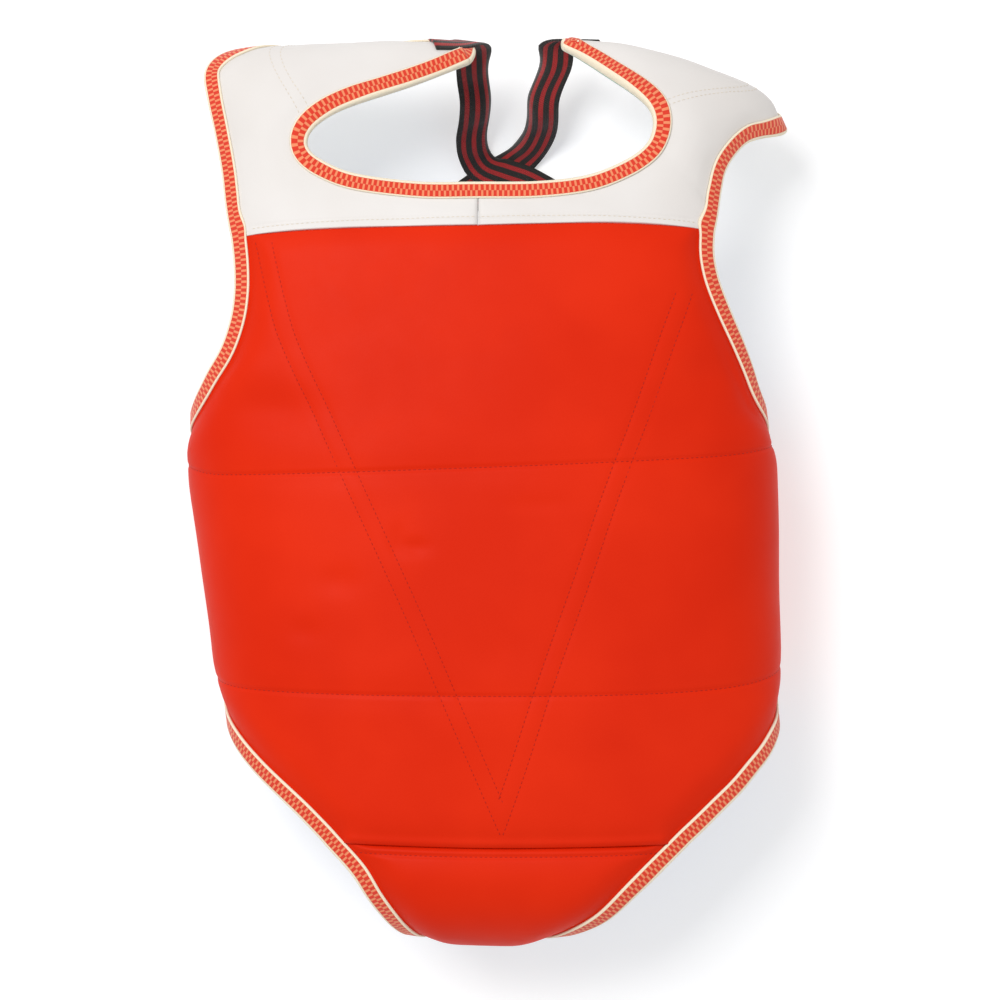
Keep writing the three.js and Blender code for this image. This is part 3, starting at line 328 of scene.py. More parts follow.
@dataclass(frozen=True)
class BodyForm(MiddleSurface):
    """The body's middle surface, read by across and along. Its sections are shares of the sizes below."""

    half_width: float = 200 * MM
    length: float = 409 * MM
    lip_y: float = -240 * MM
    crown_height: float = 166 * MM
    widest_height: float = 85 * MM
    roundness: float = 2.6
    tuck: float = 22 * MM
    pad: float = 20 * MM

    ALONG = (-0.3, 0, 0.24, 0.61, 1, 1.12, 1.4)
    MIDDLE = Curve(ALONG, (0.055, 0.041, 0.023, -0.01, -0.033, -0.037, -0.045))
    LEFT = Curve(ALONG, (0.98, 0.97, 0.95, 1.015, 1.065, 1.065, 1.065))
    RIGHT = Curve(ALONG, (1.08, 1.07, 0.985, 0.995, 0.995, 0.995, 0.995))
    CROWN = Curve(ALONG, (0.91, 0.955, 1, 1.01, 0.965, 0.92, 0.905))

    def point(self, u: Array, v: Array) -> Array:
        """Finds points of the surface.

        Args:
            u: The across values.
            v: The along values.

        Returns:
            The points.
        """
        across, along = np.broadcast_arrays(np.asarray(u, float), np.asarray(v, float))
        side = np.where(across < 0, -1.0, 1.0)
        turn = np.abs(across)
        half = self.half_width * np.where(across < 0, self.LEFT(along), self.RIGHT(along))
        crown = self.crown_height * self.CROWN(along) - self.pad / 2
        reach = half - self.pad / 2
        angle = np.minimum(turn, 1) * np.pi / 2
        sine, cosine = np.sin(angle), np.maximum(np.cos(angle), 0)
        radius = (sine**self.roundness + cosine**self.roundness) ** (-1 / self.roundness)
        inward = reach * radius * sine - self.tuck * smooth(turn - 1)
        wing = self.widest_height * (2 - turn)
        up = np.where(turn > 1, wing, self.widest_height + (crown - self.widest_height) * radius * cosine)
        x = self.half_width * self.MIDDLE(along) + side * inward
        return np.stack([x, self.lip_y + self.length * along, up], axis=-1)

    def across_at(self, x: Array, along: Array) -> Array:
        """Finds the across value of the chest at a distance from the centre plane.

        Args:
            x: The distance, to the right.
            along: The place up the body.

        Returns:
            The across values.
        """
        x, along = np.broadcast_arrays(np.asarray(x, float), np.asarray(along, float))
        away = x - self.half_width * self.MIDDLE(along)
        half = self.half_width * np.where(away < 0, self.LEFT(along), self.RIGHT(along))
        share = np.clip(np.abs(away) / (half - self.pad / 2), 0, 1)
        height = (1 - share**self.roundness) ** (1 / self.roundness)
        return np.sign(away) * np.arctan2(share, height) / (np.pi / 2)


BODY = BodyForm()

LIP = Curve((-1, -0.4, 0, 0.385, 1), (0.03, 0.008, 0, 0.006, 0.03))
YOKE_SEAM = Curve((-0.8, -0.53, -0.3, 0, 0.3, 0.55, 0.8), (0.975, 0.986, 0.996, 1.001, 1.005, 0.998, 0.99))
CHANNEL_LOW = Curve((-2, -1, -0.6, 0, 0.5, 1, 2), (0.33, 0.276, 0.254, 0.246, 0.254, 0.29, 0.34))
CHANNEL_HIGH = Curve((-2, -1, -0.6, 0, 0.5, 1, 2), (0.585, 0.622, 0.602, 0.612, 0.629, 0.65, 0.585))

# Trimmed edges of the torso as (across, along), from the wing's back corner to the seam.
TOP_EDGE = {
    Side.LEFT: (
        (-1.98, 0.655), (-1.75, 0.66), (-1.5, 0.668), (-1.24, 0.68), (-1, 0.695), (-0.84, 0.712),
        (-0.735, 0.738), (-0.66, 0.77), (-0.595, 0.806), (-0.553, 0.852), (-0.534, 0.897),
        (-0.529, 0.943), (-0.532, 0.986),
    ),
    Side.RIGHT: (
        (1.98, 0.655), (1.75, 0.66), (1.5, 0.668), (1.24, 0.68), (1, 0.695), (0.86, 0.716),
        (0.77, 0.74), (0.708, 0.781), (0.655, 0.822), (0.605, 0.866), (0.563, 0.916),
        (0.547, 0.96), (0.552, 0.998),
    ),
}
LOW_EDGE = {
    Side.LEFT: (
        (-1.98, 0.25), (-1.75, 0.245), (-1.5, 0.238), (-1.24, 0.228), (-1, 0.212), (-0.87, 0.188),
        (-0.76, 0.162), (-0.675, 0.137), (-0.604, 0.112), (-0.535, 0.084), (-0.475, 0.055),
        (-0.43, 0.028), (-0.4, 0.008),
    ),
    Side.RIGHT: (
        (1.98, 0.25), (1.75, 0.245), (1.5, 0.238), (1.24, 0.228), (1, 0.212), (0.87, 0.186),
        (0.76, 0.163), (0.675, 0.139), (0.604, 0.116), (0.535, 0.086), (0.475, 0.058),
        (0.425, 0.03), (0.385, 0.006),
    ),
}
# The outer line of the stitched V, from the yoke seam to its point.
V_OUTER = {
    Side.LEFT: (
        (-0.464, 0.974), (-0.439, 0.88), (-0.418, 0.817), (-0.349, 0.688), (-0.284, 0.56),
        (-0.22, 0.432), (-0.123, 0.24), (-0.053, 0.116), (0, 0.023),
    ),
    Side.RIGHT: (
        (0.471, 0.891), (0.425, 0.816), (0.354, 0.688), (0.283, 0.56), (0.22, 0.432),
        (0.118, 0.24), (0.052, 0.113), (0.006, 0.023),
    ),
}

# The yoke halves from the centre seam to the flap's tip: points on the neck edge, on the ridge and on the
# outer edge, as shares of half_width across, YOKE_RISE above the seam and crown_height up. The ridge and the
# outer edge start at the seam's end.
YOKE_RISE = 130 * MM
NECK_EDGE = {
    Side.LEFT: (
        (-0.033, 0.222, 0.877), (-0.235, 0.224, 0.875), (-0.445, 0.27, 0.857), (-0.56, 0.345, 0.84),
        (-0.602, 0.405, 0.828), (-0.607, 0.465, 0.82), (-0.582, 0.53, 0.812), (-0.53, 0.592, 0.8),
        (-0.475, 0.636, 0.786), (-0.41, 0.675, 0.772), (-0.345, 0.711, 0.752), (-0.265, 0.755, 0.728),
        (-0.185, 0.805, 0.702), (-0.095, 0.865, 0.672), (-0.028, 0.912, 0.63),
    ),
    Side.RIGHT: (
        (-0.033, 0.222, 0.877), (0.17, 0.226, 0.874), (0.335, 0.262, 0.859), (0.465, 0.345, 0.836),
        (0.53, 0.425, 0.822), (0.553, 0.5, 0.813), (0.555, 0.572, 0.802), (0.541, 0.629, 0.79),
        (0.51, 0.683, 0.776), (0.462, 0.745, 0.756), (0.405, 0.81, 0.722), (0.35, 0.874, 0.68),
        (0.3, 0.927, 0.642), (0.26, 0.962, 0.615), (0.222, 0.99, 0.585),
    ),
}
RIDGE = {
    Side.LEFT: (
        (-0.71, 0.18, 0.835), (-0.735, 0.27, 0.82), (-0.745, 0.4, 0.81), (-0.75, 0.54, 0.8),
        (-0.735, 0.67, 0.785), (-0.71, 0.765, 0.76), (-0.67, 0.84, 0.73), (-0.61, 0.895, 0.695),
        (-0.5, 0.93, 0.65), (-0.37, 0.945, 0.645), (-0.175, 0.955, 0.635), (-0.055, 0.955, 0.585),
    ),
    Side.RIGHT: (
        (0.62, 0.19, 0.83), (0.65, 0.27, 0.815), (0.665, 0.375, 0.805), (0.68, 0.475, 0.79),
        (0.715, 0.56, 0.765), (0.76, 0.635, 0.72), (0.81, 0.7, 0.66), (0.83, 0.76, 0.6),
        (0.72, 0.84, 0.57), (0.56, 0.915, 0.57), (0.4, 0.965, 0.575), (0.262, 1.0, 0.54),
    ),
}
OUTER_EDGE = {
    Side.LEFT: (
        (-0.85, -0.035, 0.797), (-0.866, 0.12, 0.777), (-0.88, 0.3, 0.76), (-0.905, 0.505, 0.74),
        (-0.933, 0.69, 0.718), (-0.944, 0.82, 0.69), (-0.895, 0.905, 0.65), (-0.79, 0.945, 0.585),
        (-0.63, 0.935, 0.43), (-0.43, 0.94, 0.44), (-0.225, 0.985, 0.53), (-0.075, 0.975, 0.5),
    ),
    Side.RIGHT: (
        (0.752, -0.005, 0.787), (0.757, 0.085, 0.776), (0.768, 0.208, 0.757), (0.79, 0.332, 0.73),
        (0.853, 0.46, 0.665), (0.922, 0.51, 0.59), (1.005, 0.548, 0.48), (0.965, 0.62, 0.31),
        (0.84, 0.69, 0.27), (0.66, 0.79, 0.3), (0.47, 0.89, 0.36), (0.3, 0.98, 0.42),
    ),
}


def yoke_place(shares: Sequence[Sequence[float]]) -> Array:
    """Turns rows of shares across, above the seam and up into points."""
    seam_y = BODY.lip_y + BODY.length
    scale = np.array((BODY.half_width, YOKE_RISE, BODY.crown_height))
    return np.array(shares, float) * scale + np.array((0, seam_y, 0))


class YokeForm(MiddleSurface):
    """One yoke half's middle surface: section runs from the centre seam to the tip, and share outwards."""

    step = 5e-3
    SEAM_ROWS = 3
    LAST = 14
    GAP = 0.3 * MM

    def __init__(self, side: Side) -> None:
        """Draws the neck, ridge and outer lines of one side.

        Args:
            side: The side.
        """
        self.side = side
        self.outward = 1 if side is Side.LEFT else -1
        self.seam_end = TOP_EDGE[side][-1][0]
        neck = yoke_place(NECK_EDGE[side])
        outer = yoke_place(OUTER_EDGE[side])
        first = np.arange(self.SEAM_ROWS)
        outer[0] = self.on_seam(np.array(self.SEAM_ROWS))
        ridge = np.concatenate([(neck[first] + self.on_seam(first)) / 2, yoke_place(RIDGE[side])])
        self.neck_line = Curve(range(self.LAST + 1), neck)
        self.ridge_line = Curve(range(self.LAST + 1), ridge)
        self.outer_line = Curve(range(self.SEAM_ROWS, self.LAST + 1), outer)

    def on_seam(self, section: Array) -> Array:
        """Returns the points of the yoke seam at sections from 0 to SEAM_ROWS."""
        across = self.seam_end * section / self.SEAM_ROWS
        return BODY.point(across, YOKE_SEAM(across)) + np.array((0, self.GAP, 0))

    def point(self, u: Array, v: Array) -> Array:
        """Finds points of the surface.

        Args:
            u: The sections.
            v: The shares.

        Returns:
            The points.
        """
        section, share = np.broadcast_arrays(np.asarray(u, float), np.asarray(v, float))
        t = share[..., None]
        on_seam = (section <= self.SEAM_ROWS)[..., None]
        outer = np.where(on_seam, self.on_seam(section), self.outer_line(section))
        point = (1 - t) * (1 - 2 * t) * self.neck_line(section)
        point = point + 4 * t * (1 - t) * self.ridge_line(section) + t * (2 * t - 1) * outer
        shift = self.side.sign * self.GAP / 2 * np.clip(1 - section, 0, 1)
        return point + shift[..., None] * np.array((1, 0, 0))

    def normal(self, u: Array, v: Array) -> Array:
        """Returns the outward unit normals, read a little inside the edges."""
        return super().normal(np.clip(u, 0.01, self.LAST - 0.01), np.clip(v, 0.01, 0.99))


@dataclass(frozen=True)
class FlapForm(MiddleSurface):
    """The lower flap's middle surface, read by x and by the distance below the lip along its bend."""

    straight: float = 16 * MM
    entry: float = 0.07
    bend: float = 50 * MM
    turn: float = 2.0
    gap: float = 0.3 * MM

    step = 0.2 * MM
    outward = -1
    DOWN = (0, 0.18, 0.3, 0.46, 0.68, 1)
    WIDTH = {
        Side.LEFT: Curve(DOWN, (1, 0.82, 0.74, 0.635, 0.52, 0.4)),
        Side.RIGHT: Curve(DOWN, (1, 0.835, 0.725, 0.6, 0.41, 0.27)),
    }

    @property
    def length(self) -> float:
        """Returns the flap's length from the lip to its end."""
        return self.straight + self.bend * self.turn

    def point(self, u: Array, v: Array) -> Array:
        """Finds points of the surface.

        Args:
            u: The distances from the centre plane.
            v: The distances below the lip.

        Returns:
            The points.
        """
        x, distance = np.broadcast_arrays(np.asarray(u, float), np.asarray(v, float))
        across = BODY.across_at(x, 0)
        start = BODY.point(across, LIP(across))
        flat = np.minimum(distance, self.straight)
        angle = self.entry + np.maximum(distance - self.straight, 0) / self.bend
        reach = flat * math.cos(self.entry) + self.bend * (np.sin(angle) - math.sin(self.entry)) + self.gap
        drop = flat * math.sin(self.entry) + self.bend * (math.cos(self.entry) - np.cos(angle))
        return start - np.stack([np.zeros_like(reach), reach, drop], axis=-1)

    def side_at(self, side: Side, distance: Array) -> Array:
        """Returns how far out a side of the flap is at distances below the lip."""
        across, along = LOW_EDGE[side][-1]
        return BODY.point(across, along)[0] * self.WIDTH[side](distance / self.length)


# --- Pads -----------------------------------------------------------------------------------------


def new_object(name: str, mesh: Mesh, slot: Slot, nodes: Sequence[str] = ()) -> Object:
    """Args:
        name: The piece's name.
        mesh: Its mesh.
        slot: The record's slot that its finish comes from; not used.
        nodes: The nodes that it replaces.

    Returns:
        The object.
    """
    piece = bpy.data.objects.new(name, mesh)
    bpy.context.scene.collection.objects.link(piece)
    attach(piece, "root")
    if nodes:
        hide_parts(*nodes)
    log.info("%s: %d faces", name, len(mesh.polygons))
    return piece


def shell_mesh(
    name: str, outer: Array, inner: Array, uv: Array, finishes: Sequence[Material]
) -> Mesh:
    """Makes a closed sheet with a thickness from a grid that is extruded and laid on two faces.

    Args:
        name: The mesh's name.
        outer: The outer face's points, rows by columns.
        inner: The inner face's points, alike.
        uv: Two numbers for each point of the grid.
        finishes: The material of the outer face and rim, and the material of the inner face.

    Returns:
        The mesh.
    """
    rows, columns = outer.shape[0] - 1, outer.shape[1] - 1
    grid = bmesh.new()
    bmesh.ops.create_grid(grid, x_segments=columns, y_segments=rows, size=0.5)
    raised = bmesh.ops.extrude_face_region(grid, geom=grid.faces[:])["geom"]
    bmesh.ops.translate(grid, verts=[e for e in raised if isinstance(e, bmesh.types.BMVert)], vec=(0, 0, 1))
    bmesh.ops.recalc_face_normals(grid, faces=grid.faces[:])
    mesh = bpy.data.meshes.new(name)
    grid.to_mesh(mesh)
    grid.free()
    flat = np.empty(len(mesh.vertices) * 3)
    mesh.vertices.foreach_get("co", flat)
    flat = flat.reshape(-1, 3)
    i = np.rint((flat[:, 1] + 0.5) * rows).astype(int)
    j = np.rint((flat[:, 0] + 0.5) * columns).astype(int)
    top = flat[:, 2] > 0.5
    points = np.where(top[:, None], outer[i, j], inner[i, j])
    mesh.vertices.foreach_set("co", points.ravel())
    corners = np.empty(len(mesh.loops), int)
    mesh.loops.foreach_get("vertex_index", corners)
    layer = mesh.uv_layers.new(name="pattern")
    layer.data.foreach_set("uv", uv[i, j][corners].ravel())
    starts = np.empty(len(mesh.polygons), int)
    mesh.polygons.foreach_get("loop_start", starts)
    quads = corners[starts[:, None] + np.arange(4)]
    on_inner = ~top[quads].any(axis=1)
    mesh.polygons.foreach_set("material_index", on_inner.astype(int))
    mesh.polygons.foreach_set("use_smooth", np.ones(len(starts), bool))
    a, b, c, d = (points[quads[:, k]] for k in range(4))
    if np.sum(a * np.cross(b, c)) + np.sum(a * np.cross(c, d)) < 0:
        mesh.flip_normals()
    for finish in finishes:
        mesh.materials.append(finish)
    mesh.update()
    return mesh


@dataclass(frozen=True)
class Border:
    """A stretch of a pad's trimmed edge.

    Each row has the two numbers of a place on the edge, then those of a place well inside it.
    """

    surface: MiddleSurface
    places: Array

    def reversed(self) -> "Border":
        """Returns the same stretch, run the other way."""
        return Border(self.surface, self.places[::-1])


@dataclass(frozen=True)
class Foam:
    """Thicknesses of the foam sheet in its cover, which the tape's fold follows."""

    trimmed: float = 4 * MM
    under_tape: float = 7 * MM
    at_seam: float = 11 * MM
    tape_width: float = 12 * MM
    taper: float = 26 * MM


FOAM = Foam()


class Pad:
    """A padded panel: a grid of places on a middle surface, and a thickness on both sides of it."""

    name: str
    slot = Slot.RED
    full = 20 * MM
    seam_blend = 3 * MM
    relief_reach = 8 * MM
    hint_rows = 10
    hint_columns = 16

    def __init__(self, surface: MiddleSurface, u: Array, v: Array) -> None:
        """Keeps the grid.

        Args:
            surface: The middle surface.
            u: The first number of each place, rows by columns.
            v: The second number of each place.
        """
        self.surface = surface
        self.u, self.v = u, v
        self.points = surface.point(u, v)
        self.rims: list[Array] = []
        self.seams: list[Array] = []
        self.sewn: list[tuple[Array, Sequence]] = []  # lines, each with the grooves along it

    def rim_distance(self, points: Array) -> Array:
        """Returns how far points are from the trimmed edges."""
        return np.minimum.reduce([distance_to(rim[::2], points) for rim in self.rims])

    def seam_distance(self, points: Array) -> Array:
        """Returns how far points are from the stitched seams."""
        return np.minimum.reduce([distance_to(seam[::3], points) for seam in self.seams])

    def half(self, rim: Array, seam: Array) -> Array:
        """Finds half the foam's thickness.

        Args:
            rim: Distances from the trimmed edges.
            seam: Distances from the seams.

        Returns:
            Half the thickness.
        """
        under = mix(FOAM.trimmed, FOAM.under_tape, np.clip(rim / FOAM.tape_width, 0, 1))
        swollen = mix(FOAM.under_tape, self.full, pillow((rim - FOAM.tape_width) / FOAM.taper))
        edge = np.where(rim < FOAM.tape_width, under, swollen)
        at_seam = min(FOAM.at_seam, self.full)
        at_seam = mix(at_seam, self.full, pillow(seam / FOAM.taper))
        return lesser(edge, at_seam, self.seam_blend) / 2

    def ripple(self, x: Array, y: Array, z: Array) -> Array:
        """Returns how far the cover ripples out at places. All are in millimetres."""
        raise NotImplementedError

    def relief(self, points: Array) -> Array:
        """Returns how far the cover stands out from the plain foam."""
        sunk = sum(grooves(distance_to(line, points), shapes) for line, shapes in self.sewn)
        return MM * self.ripple(*np.moveaxis(points / MM, -1, 0)) - sunk

    def face(self, u: Array, v: Array, sign: int = 1) -> Array:
        """Finds points of one face of the pad.

        Args:
            u: First numbers of the places.
            v: Their second numbers.
            sign: 1 for the outer face and -1 for the reverse.

        Returns:
            The points.
        """
        points = self.surface.point(u, v)
        rim, seam = self.rim_distance(points), self.seam_distance(points)
        height = self.half(rim, seam)
        if sign > 0:
            clear = smooth((rim - FOAM.tape_width) / self.relief_reach)
            height = height + clear * self.relief(points)
        return points + sign * self.surface.normal(u, v) * height[..., None]

    def beside(
        self, rows: Array, columns: Array, inner_rows: Array, inner_columns: Array
    ) -> Array:
        """Returns a border's rows for places of the grid on the edge and for places inside it."""
        places = np.stack([self.u, self.v], -1)
        return np.concatenate([places[rows, columns], places[inner_rows, inner_columns]], axis=1)

    def round_end(self, out: Array, back: Array) -> Array:
        """Runs down the grid's first column, along its last row and up its last column.

        Args:
            out: The rows on the first column.
            back: The rows on the last column, in the order of the run.

        Returns:
            A border's rows.
        """
        last, wide = len(self.u) - 1, self.hint_columns
        deep = last - self.hint_rows
        columns = np.arange(self.u.shape[1])
        return np.concatenate([
            self.beside(out, 0, np.minimum(out, deep), wide),
            self.beside(last, columns, deep, np.clip(columns, wide, columns[-1] - wide)),
            self.beside(back, -1, np.minimum(back, deep), -1 - wide),
        ])

    def build(self, outside: Material, reverse: Material) -> Object:
        """Makes the pad's piece.

        Args:
            outside: The material of the outer face.
            reverse: The material of the reverse face.

        Returns:
            The piece.
        """
        uv = np.stack([self.u, self.v], axis=-1)
        faces = (self.face(self.u, self.v, sign) for sign in (1, -1))
        mesh = shell_mesh(self.name, *faces, uv, (outside, reverse))
        piece = new_object(f"{self.name}_cover", mesh, self.slot, (self.name,))
        return piece


class TorsoPad(Pad):
    """The red quilted panel that wraps the chest and both sides."""

    name = "torso_pad"
    wing_columns = 24
    edge_columns = 50
    seam_columns = 76
    rows = (48, 68, 72)
    wing_end = 1.9806
    corner = 22 * MM
    hint_rows = 14
    hint_columns = 5
    wing_rows = 4  # rows of an edge table on the wing
    v_gap = 11.2 * MM
    v_foot = 0.025
    v_inner_foot = 0.078

    # Grooves as depth, width and distance from the line, and dents as x, y, reach across, reach along and
    # depth. All are in millimetres.
    CHANNEL = ((0.8, 9, 0), (0.8, 1.7, 0))
    V_LINE = ((0.12, 4, 0), (0.3, 1.5, 0))
    LIP_WELT = ((-1.2, 3, 3),)
    DENTS = (
        (-48, -42, 10, 5, 1.8), (-58, -36, 6, 9, 1.1), (-96, -64, 13, 9, 1.6), (-118, -97, 11, 8, 1.3),
        (34, -14, 20, 5, 0.6), (72, 88, 30, 24, 0.7), (-60, 104, 34, 22, 0.6), (10, -112, 40, 18, 0.5),
        (-138, 48, 32, 14, 3.0), (-160, 76, 22, 11, -1.2), (146, 70, 22, 17, 2.4), (168, 50, 16, 13, 1.6),
    )

    def __init__(self) -> None:
        """Lays the grid out from the wings' back edges to the centre, and from the lower edge up."""
        across, along = self.places()
        super().__init__(BODY, across, along)
        self.trimmed = self.wing_columns + self.edge_columns
        rim = {}
        for side in Side:
            pick = slice(0, self.trimmed + 1) if side is Side.LEFT else slice(-1, -self.trimmed - 2, -1)
            end = 0 if side is Side.LEFT else -1
            along_edges = (self.points[0, pick][::-1], self.points[1:-1, end], self.points[-1, pick])
            rim[side] = np.concatenate(along_edges)
        self.rims = list(rim.values())
        middle = slice(self.trimmed, -self.trimmed)
        self.seams = [self.points[0, middle], self.points[-1, middle]]
        spread = np.linspace(-1.98, 1.98, 120)
        channels = [np.stack([spread, table(spread)], 1) for table in (CHANNEL_LOW, CHANNEL_HIGH)]
        self.sewn = [(self.line(places), self.CHANNEL) for places in channels]
        self.sewn += [(self.line(places)[::2], self.V_LINE) for places in self.stitched_v()]
        self.sewn += [(self.seams[0][::3], self.LIP_WELT)]

    def half_row(self, side: Side, edge: Sequence[tuple[float, float]], seam: Curve) -> Array:
        """Spaces the places of an outline from one wing's corner to the centre.

        Args:
            side: The side.
            edge: The table of the trimmed edge.
            seam: The seam that goes on to the centre.

        Returns:
            The places, without the one at the centre.
        """
        table = Curve(range(len(edge)), edge)
        wing = np.linspace(0, self.wing_rows, self.wing_columns, endpoint=False)
        rest = np.linspace(self.wing_rows, len(edge) - 1, self.edge_columns, endpoint=False)
        trimmed = table(np.concatenate([wing, rest]))
        trimmed[0, 0] = side.sign * self.wing_end
        across = np.linspace(edge[-1][0], 0, self.seam_columns, endpoint=False)
        return np.concatenate([trimmed, np.stack([across, seam(across)], 1)])

    def half_channel(self, side: Side, channel: Curve) -> Array:
        """Returns the places of a channel line from one wing to the centre, without the centre."""
        wing = np.linspace(self.wing_end, 0.98, self.wing_columns, endpoint=False)
        edge = np.linspace(0.98, 0.3, self.edge_columns, endpoint=False)
        seam = np.linspace(0.3, 0, self.seam_columns, endpoint=False)
        across = side.sign * np.concatenate([wing, edge, seam])
        return np.stack([across, channel(across)], 1)

    def places(self) -> tuple[Array, Array]:
        """Returns across and along for the whole grid, with rounded wing corners."""
        def whole(half: dict[Side, Array], seam: Curve) -> Array:
            """Joins the two halves of a row over the centre."""
            return np.concatenate([half[Side.LEFT], [(0, float(seam(0)))], half[Side.RIGHT][::-1]])

        low = whole({side: self.half_row(side, LOW_EDGE[side], LIP) for side in Side}, LIP)
        top = whole({side: self.half_row(side, TOP_EDGE[side], YOKE_SEAM) for side in Side}, YOKE_SEAM)
        lines = [whole({side: self.half_channel(side, table) for side in Side}, table)
                 for table in (CHANNEL_LOW, CHANNEL_HIGH)]
        stops = [low, *lines, top]
        bands = [mix(start, end, eased(count)[:, None, None])
                 for start, end, count in zip(stops[:-1], stops[1:], self.rows)]
        grid = np.concatenate([*bands, top[None]])
        across, along = grid[..., 0].copy(), grid[..., 1].copy()
        for foot, way in ((low, 1), (top, -1)):
            from_end = (self.wing_end - np.abs(across)) * BODY.widest_height
            from_edge = way * (along - foot[:, 1]) * BODY.length
            near = (from_end < self.corner) & (from_edge < self.corner)
            end, edge = round_corner(from_end, from_edge, self.corner)
            across = np.where(near, np.sign(across) * (self.wing_end - end / BODY.widest_height), across)
            along = np.where(near, foot[:, 1] + way * edge / BODY.length, along)
        return across, along

    def stitched_v(self) -> list[Array]:
        """Finds the V's stitched lines, an outer and an inner one on each side.

        Returns:
            The four lines, each as rows of across and along.
        """
        lines = []
        for side in Side:
            outer = Curve([-row[1] for row in V_OUTER[side]], V_OUTER[side])
            top = V_OUTER[side][0][1]
            places = outer(-np.linspace(top, self.v_foot, 90))
            x = BODY.point(places[:, 0], places[:, 1])[:, 0] - side.sign * self.v_gap
            inner = np.stack([BODY.across_at(x, places[:, 1]), places[:, 1]], 1)
            lines += [places, inner[inner[:, 1] > self.v_inner_foot]]
        return lines

    def line(self, places: Array) -> Array:
        """Returns the points of a line of places on the middle surface."""
        return self.surface.point(places[:, 0], places[:, 1])

    def ripple(self, x: Array, y: Array, z: Array) -> Array:
        """Returns how far the cover's dents and ripples stand out at places. All are in millimetres."""
        total = 0.5 * np.sin(x / 37 + 0.8) * np.sin(y / 41 - 0.4)
        total += 0.22 * np.sin(x / 17 - y / 29) * np.sin(y / 19 + 1.1)
        for dent_x, dent_y, wide, tall, depth in self.DENTS:
            total -= depth * np.exp(-(((x - dent_x) / wide) ** 2 + ((y - dent_y) / tall) ** 2))
        return total

    def borders(self, side: Side) -> dict[str, Border]:
        """Finds one side's trimmed edge.

        Args:
            side: The side.

        Returns:
            Its stretches low, wing and high, each from its lower or outer end.
        """
        columns, rows = np.arange(self.trimmed + 1), np.arange(1, len(self.u) - 1)
        inner, deep = np.maximum(columns, self.hint_columns), self.hint_rows
        if side is Side.RIGHT:
            columns, inner = -1 - columns, -1 - inner
        low = self.beside(0, columns, deep, inner)
        high = self.beside(-1, columns, -1 - deep, inner)
        back = self.beside(rows, columns[0], np.clip(rows, deep, len(self.u) - 1 - deep), inner[0])
        split = self.wing_columns // self.wing_rows
        wing = np.concatenate([low[:split + 1][::-1], back, high[:split + 1]])
        stretches = {"low": low[split:], "wing": wing, "high": high[split:]}
        return {name: Border(BODY, places) for name, places in stretches.items()}


class LowerFlap(Pad):
    """The padded tongue below the stitched lip, which rolls down over the belly."""

    name = "lower_flap"
    columns = 96
    rows = 64
    corner = 14 * MM
    welt = 5.5 * MM

    # Grooves beside the lip as depth, width and distance from it, in millimetres.
    BELOW_LIP = ((-0.7, 1.8, 2.8), (0.9, 1.3, welt / MM), (1.6, 0.9, 0))

    def __init__(self) -> None:
        """Lays the grid out from the lip down and from left to right."""
        form = FlapForm()
        down = form.length * np.concatenate([eased(self.rows, 0.5), [1]])[:, None]
        share = np.concatenate([eased(self.columns, 0.5), [1]])[None, :]
        down, share = np.broadcast_arrays(down, share)
        left, right = (form.side_at(side, down) for side in Side)
        width = right - left
        for from_side, way in ((share, 1), (1 - share, -1)):
            end, side = round_corner(form.length - down, from_side * width, self.corner)
            down = form.length - end
            share = np.where(from_side < 0.5, (0 if way > 0 else 1) + way * side / width, share)
        left, right = (form.side_at(side, down) for side in Side)
        super().__init__(form, mix(left, right, share), down)
        self.rims = [np.concatenate([self.points[:, 0], self.points[-1, 1:-1], self.points[::-1, -1]])]
        self.seams = [self.points[0]]
        self.sewn = [(self.seams[0][::3], self.BELOW_LIP)]

    def ripple(self, x: Array, y: Array, z: Array) -> Array:
        """Returns how far the cover ripples out at places. All are in millimetres."""
        return 0.35 * np.sin(x / 15 + 0.5) * np.sin(z / 14 + 0.7)

    def border(self) -> Border:
        """Returns the trimmed edge, from the left end of the lip round to the right end."""
        rows = np.arange(1, len(self.u) - 1)
        return Border(self.surface, self.round_end(rows, rows[::-1]))


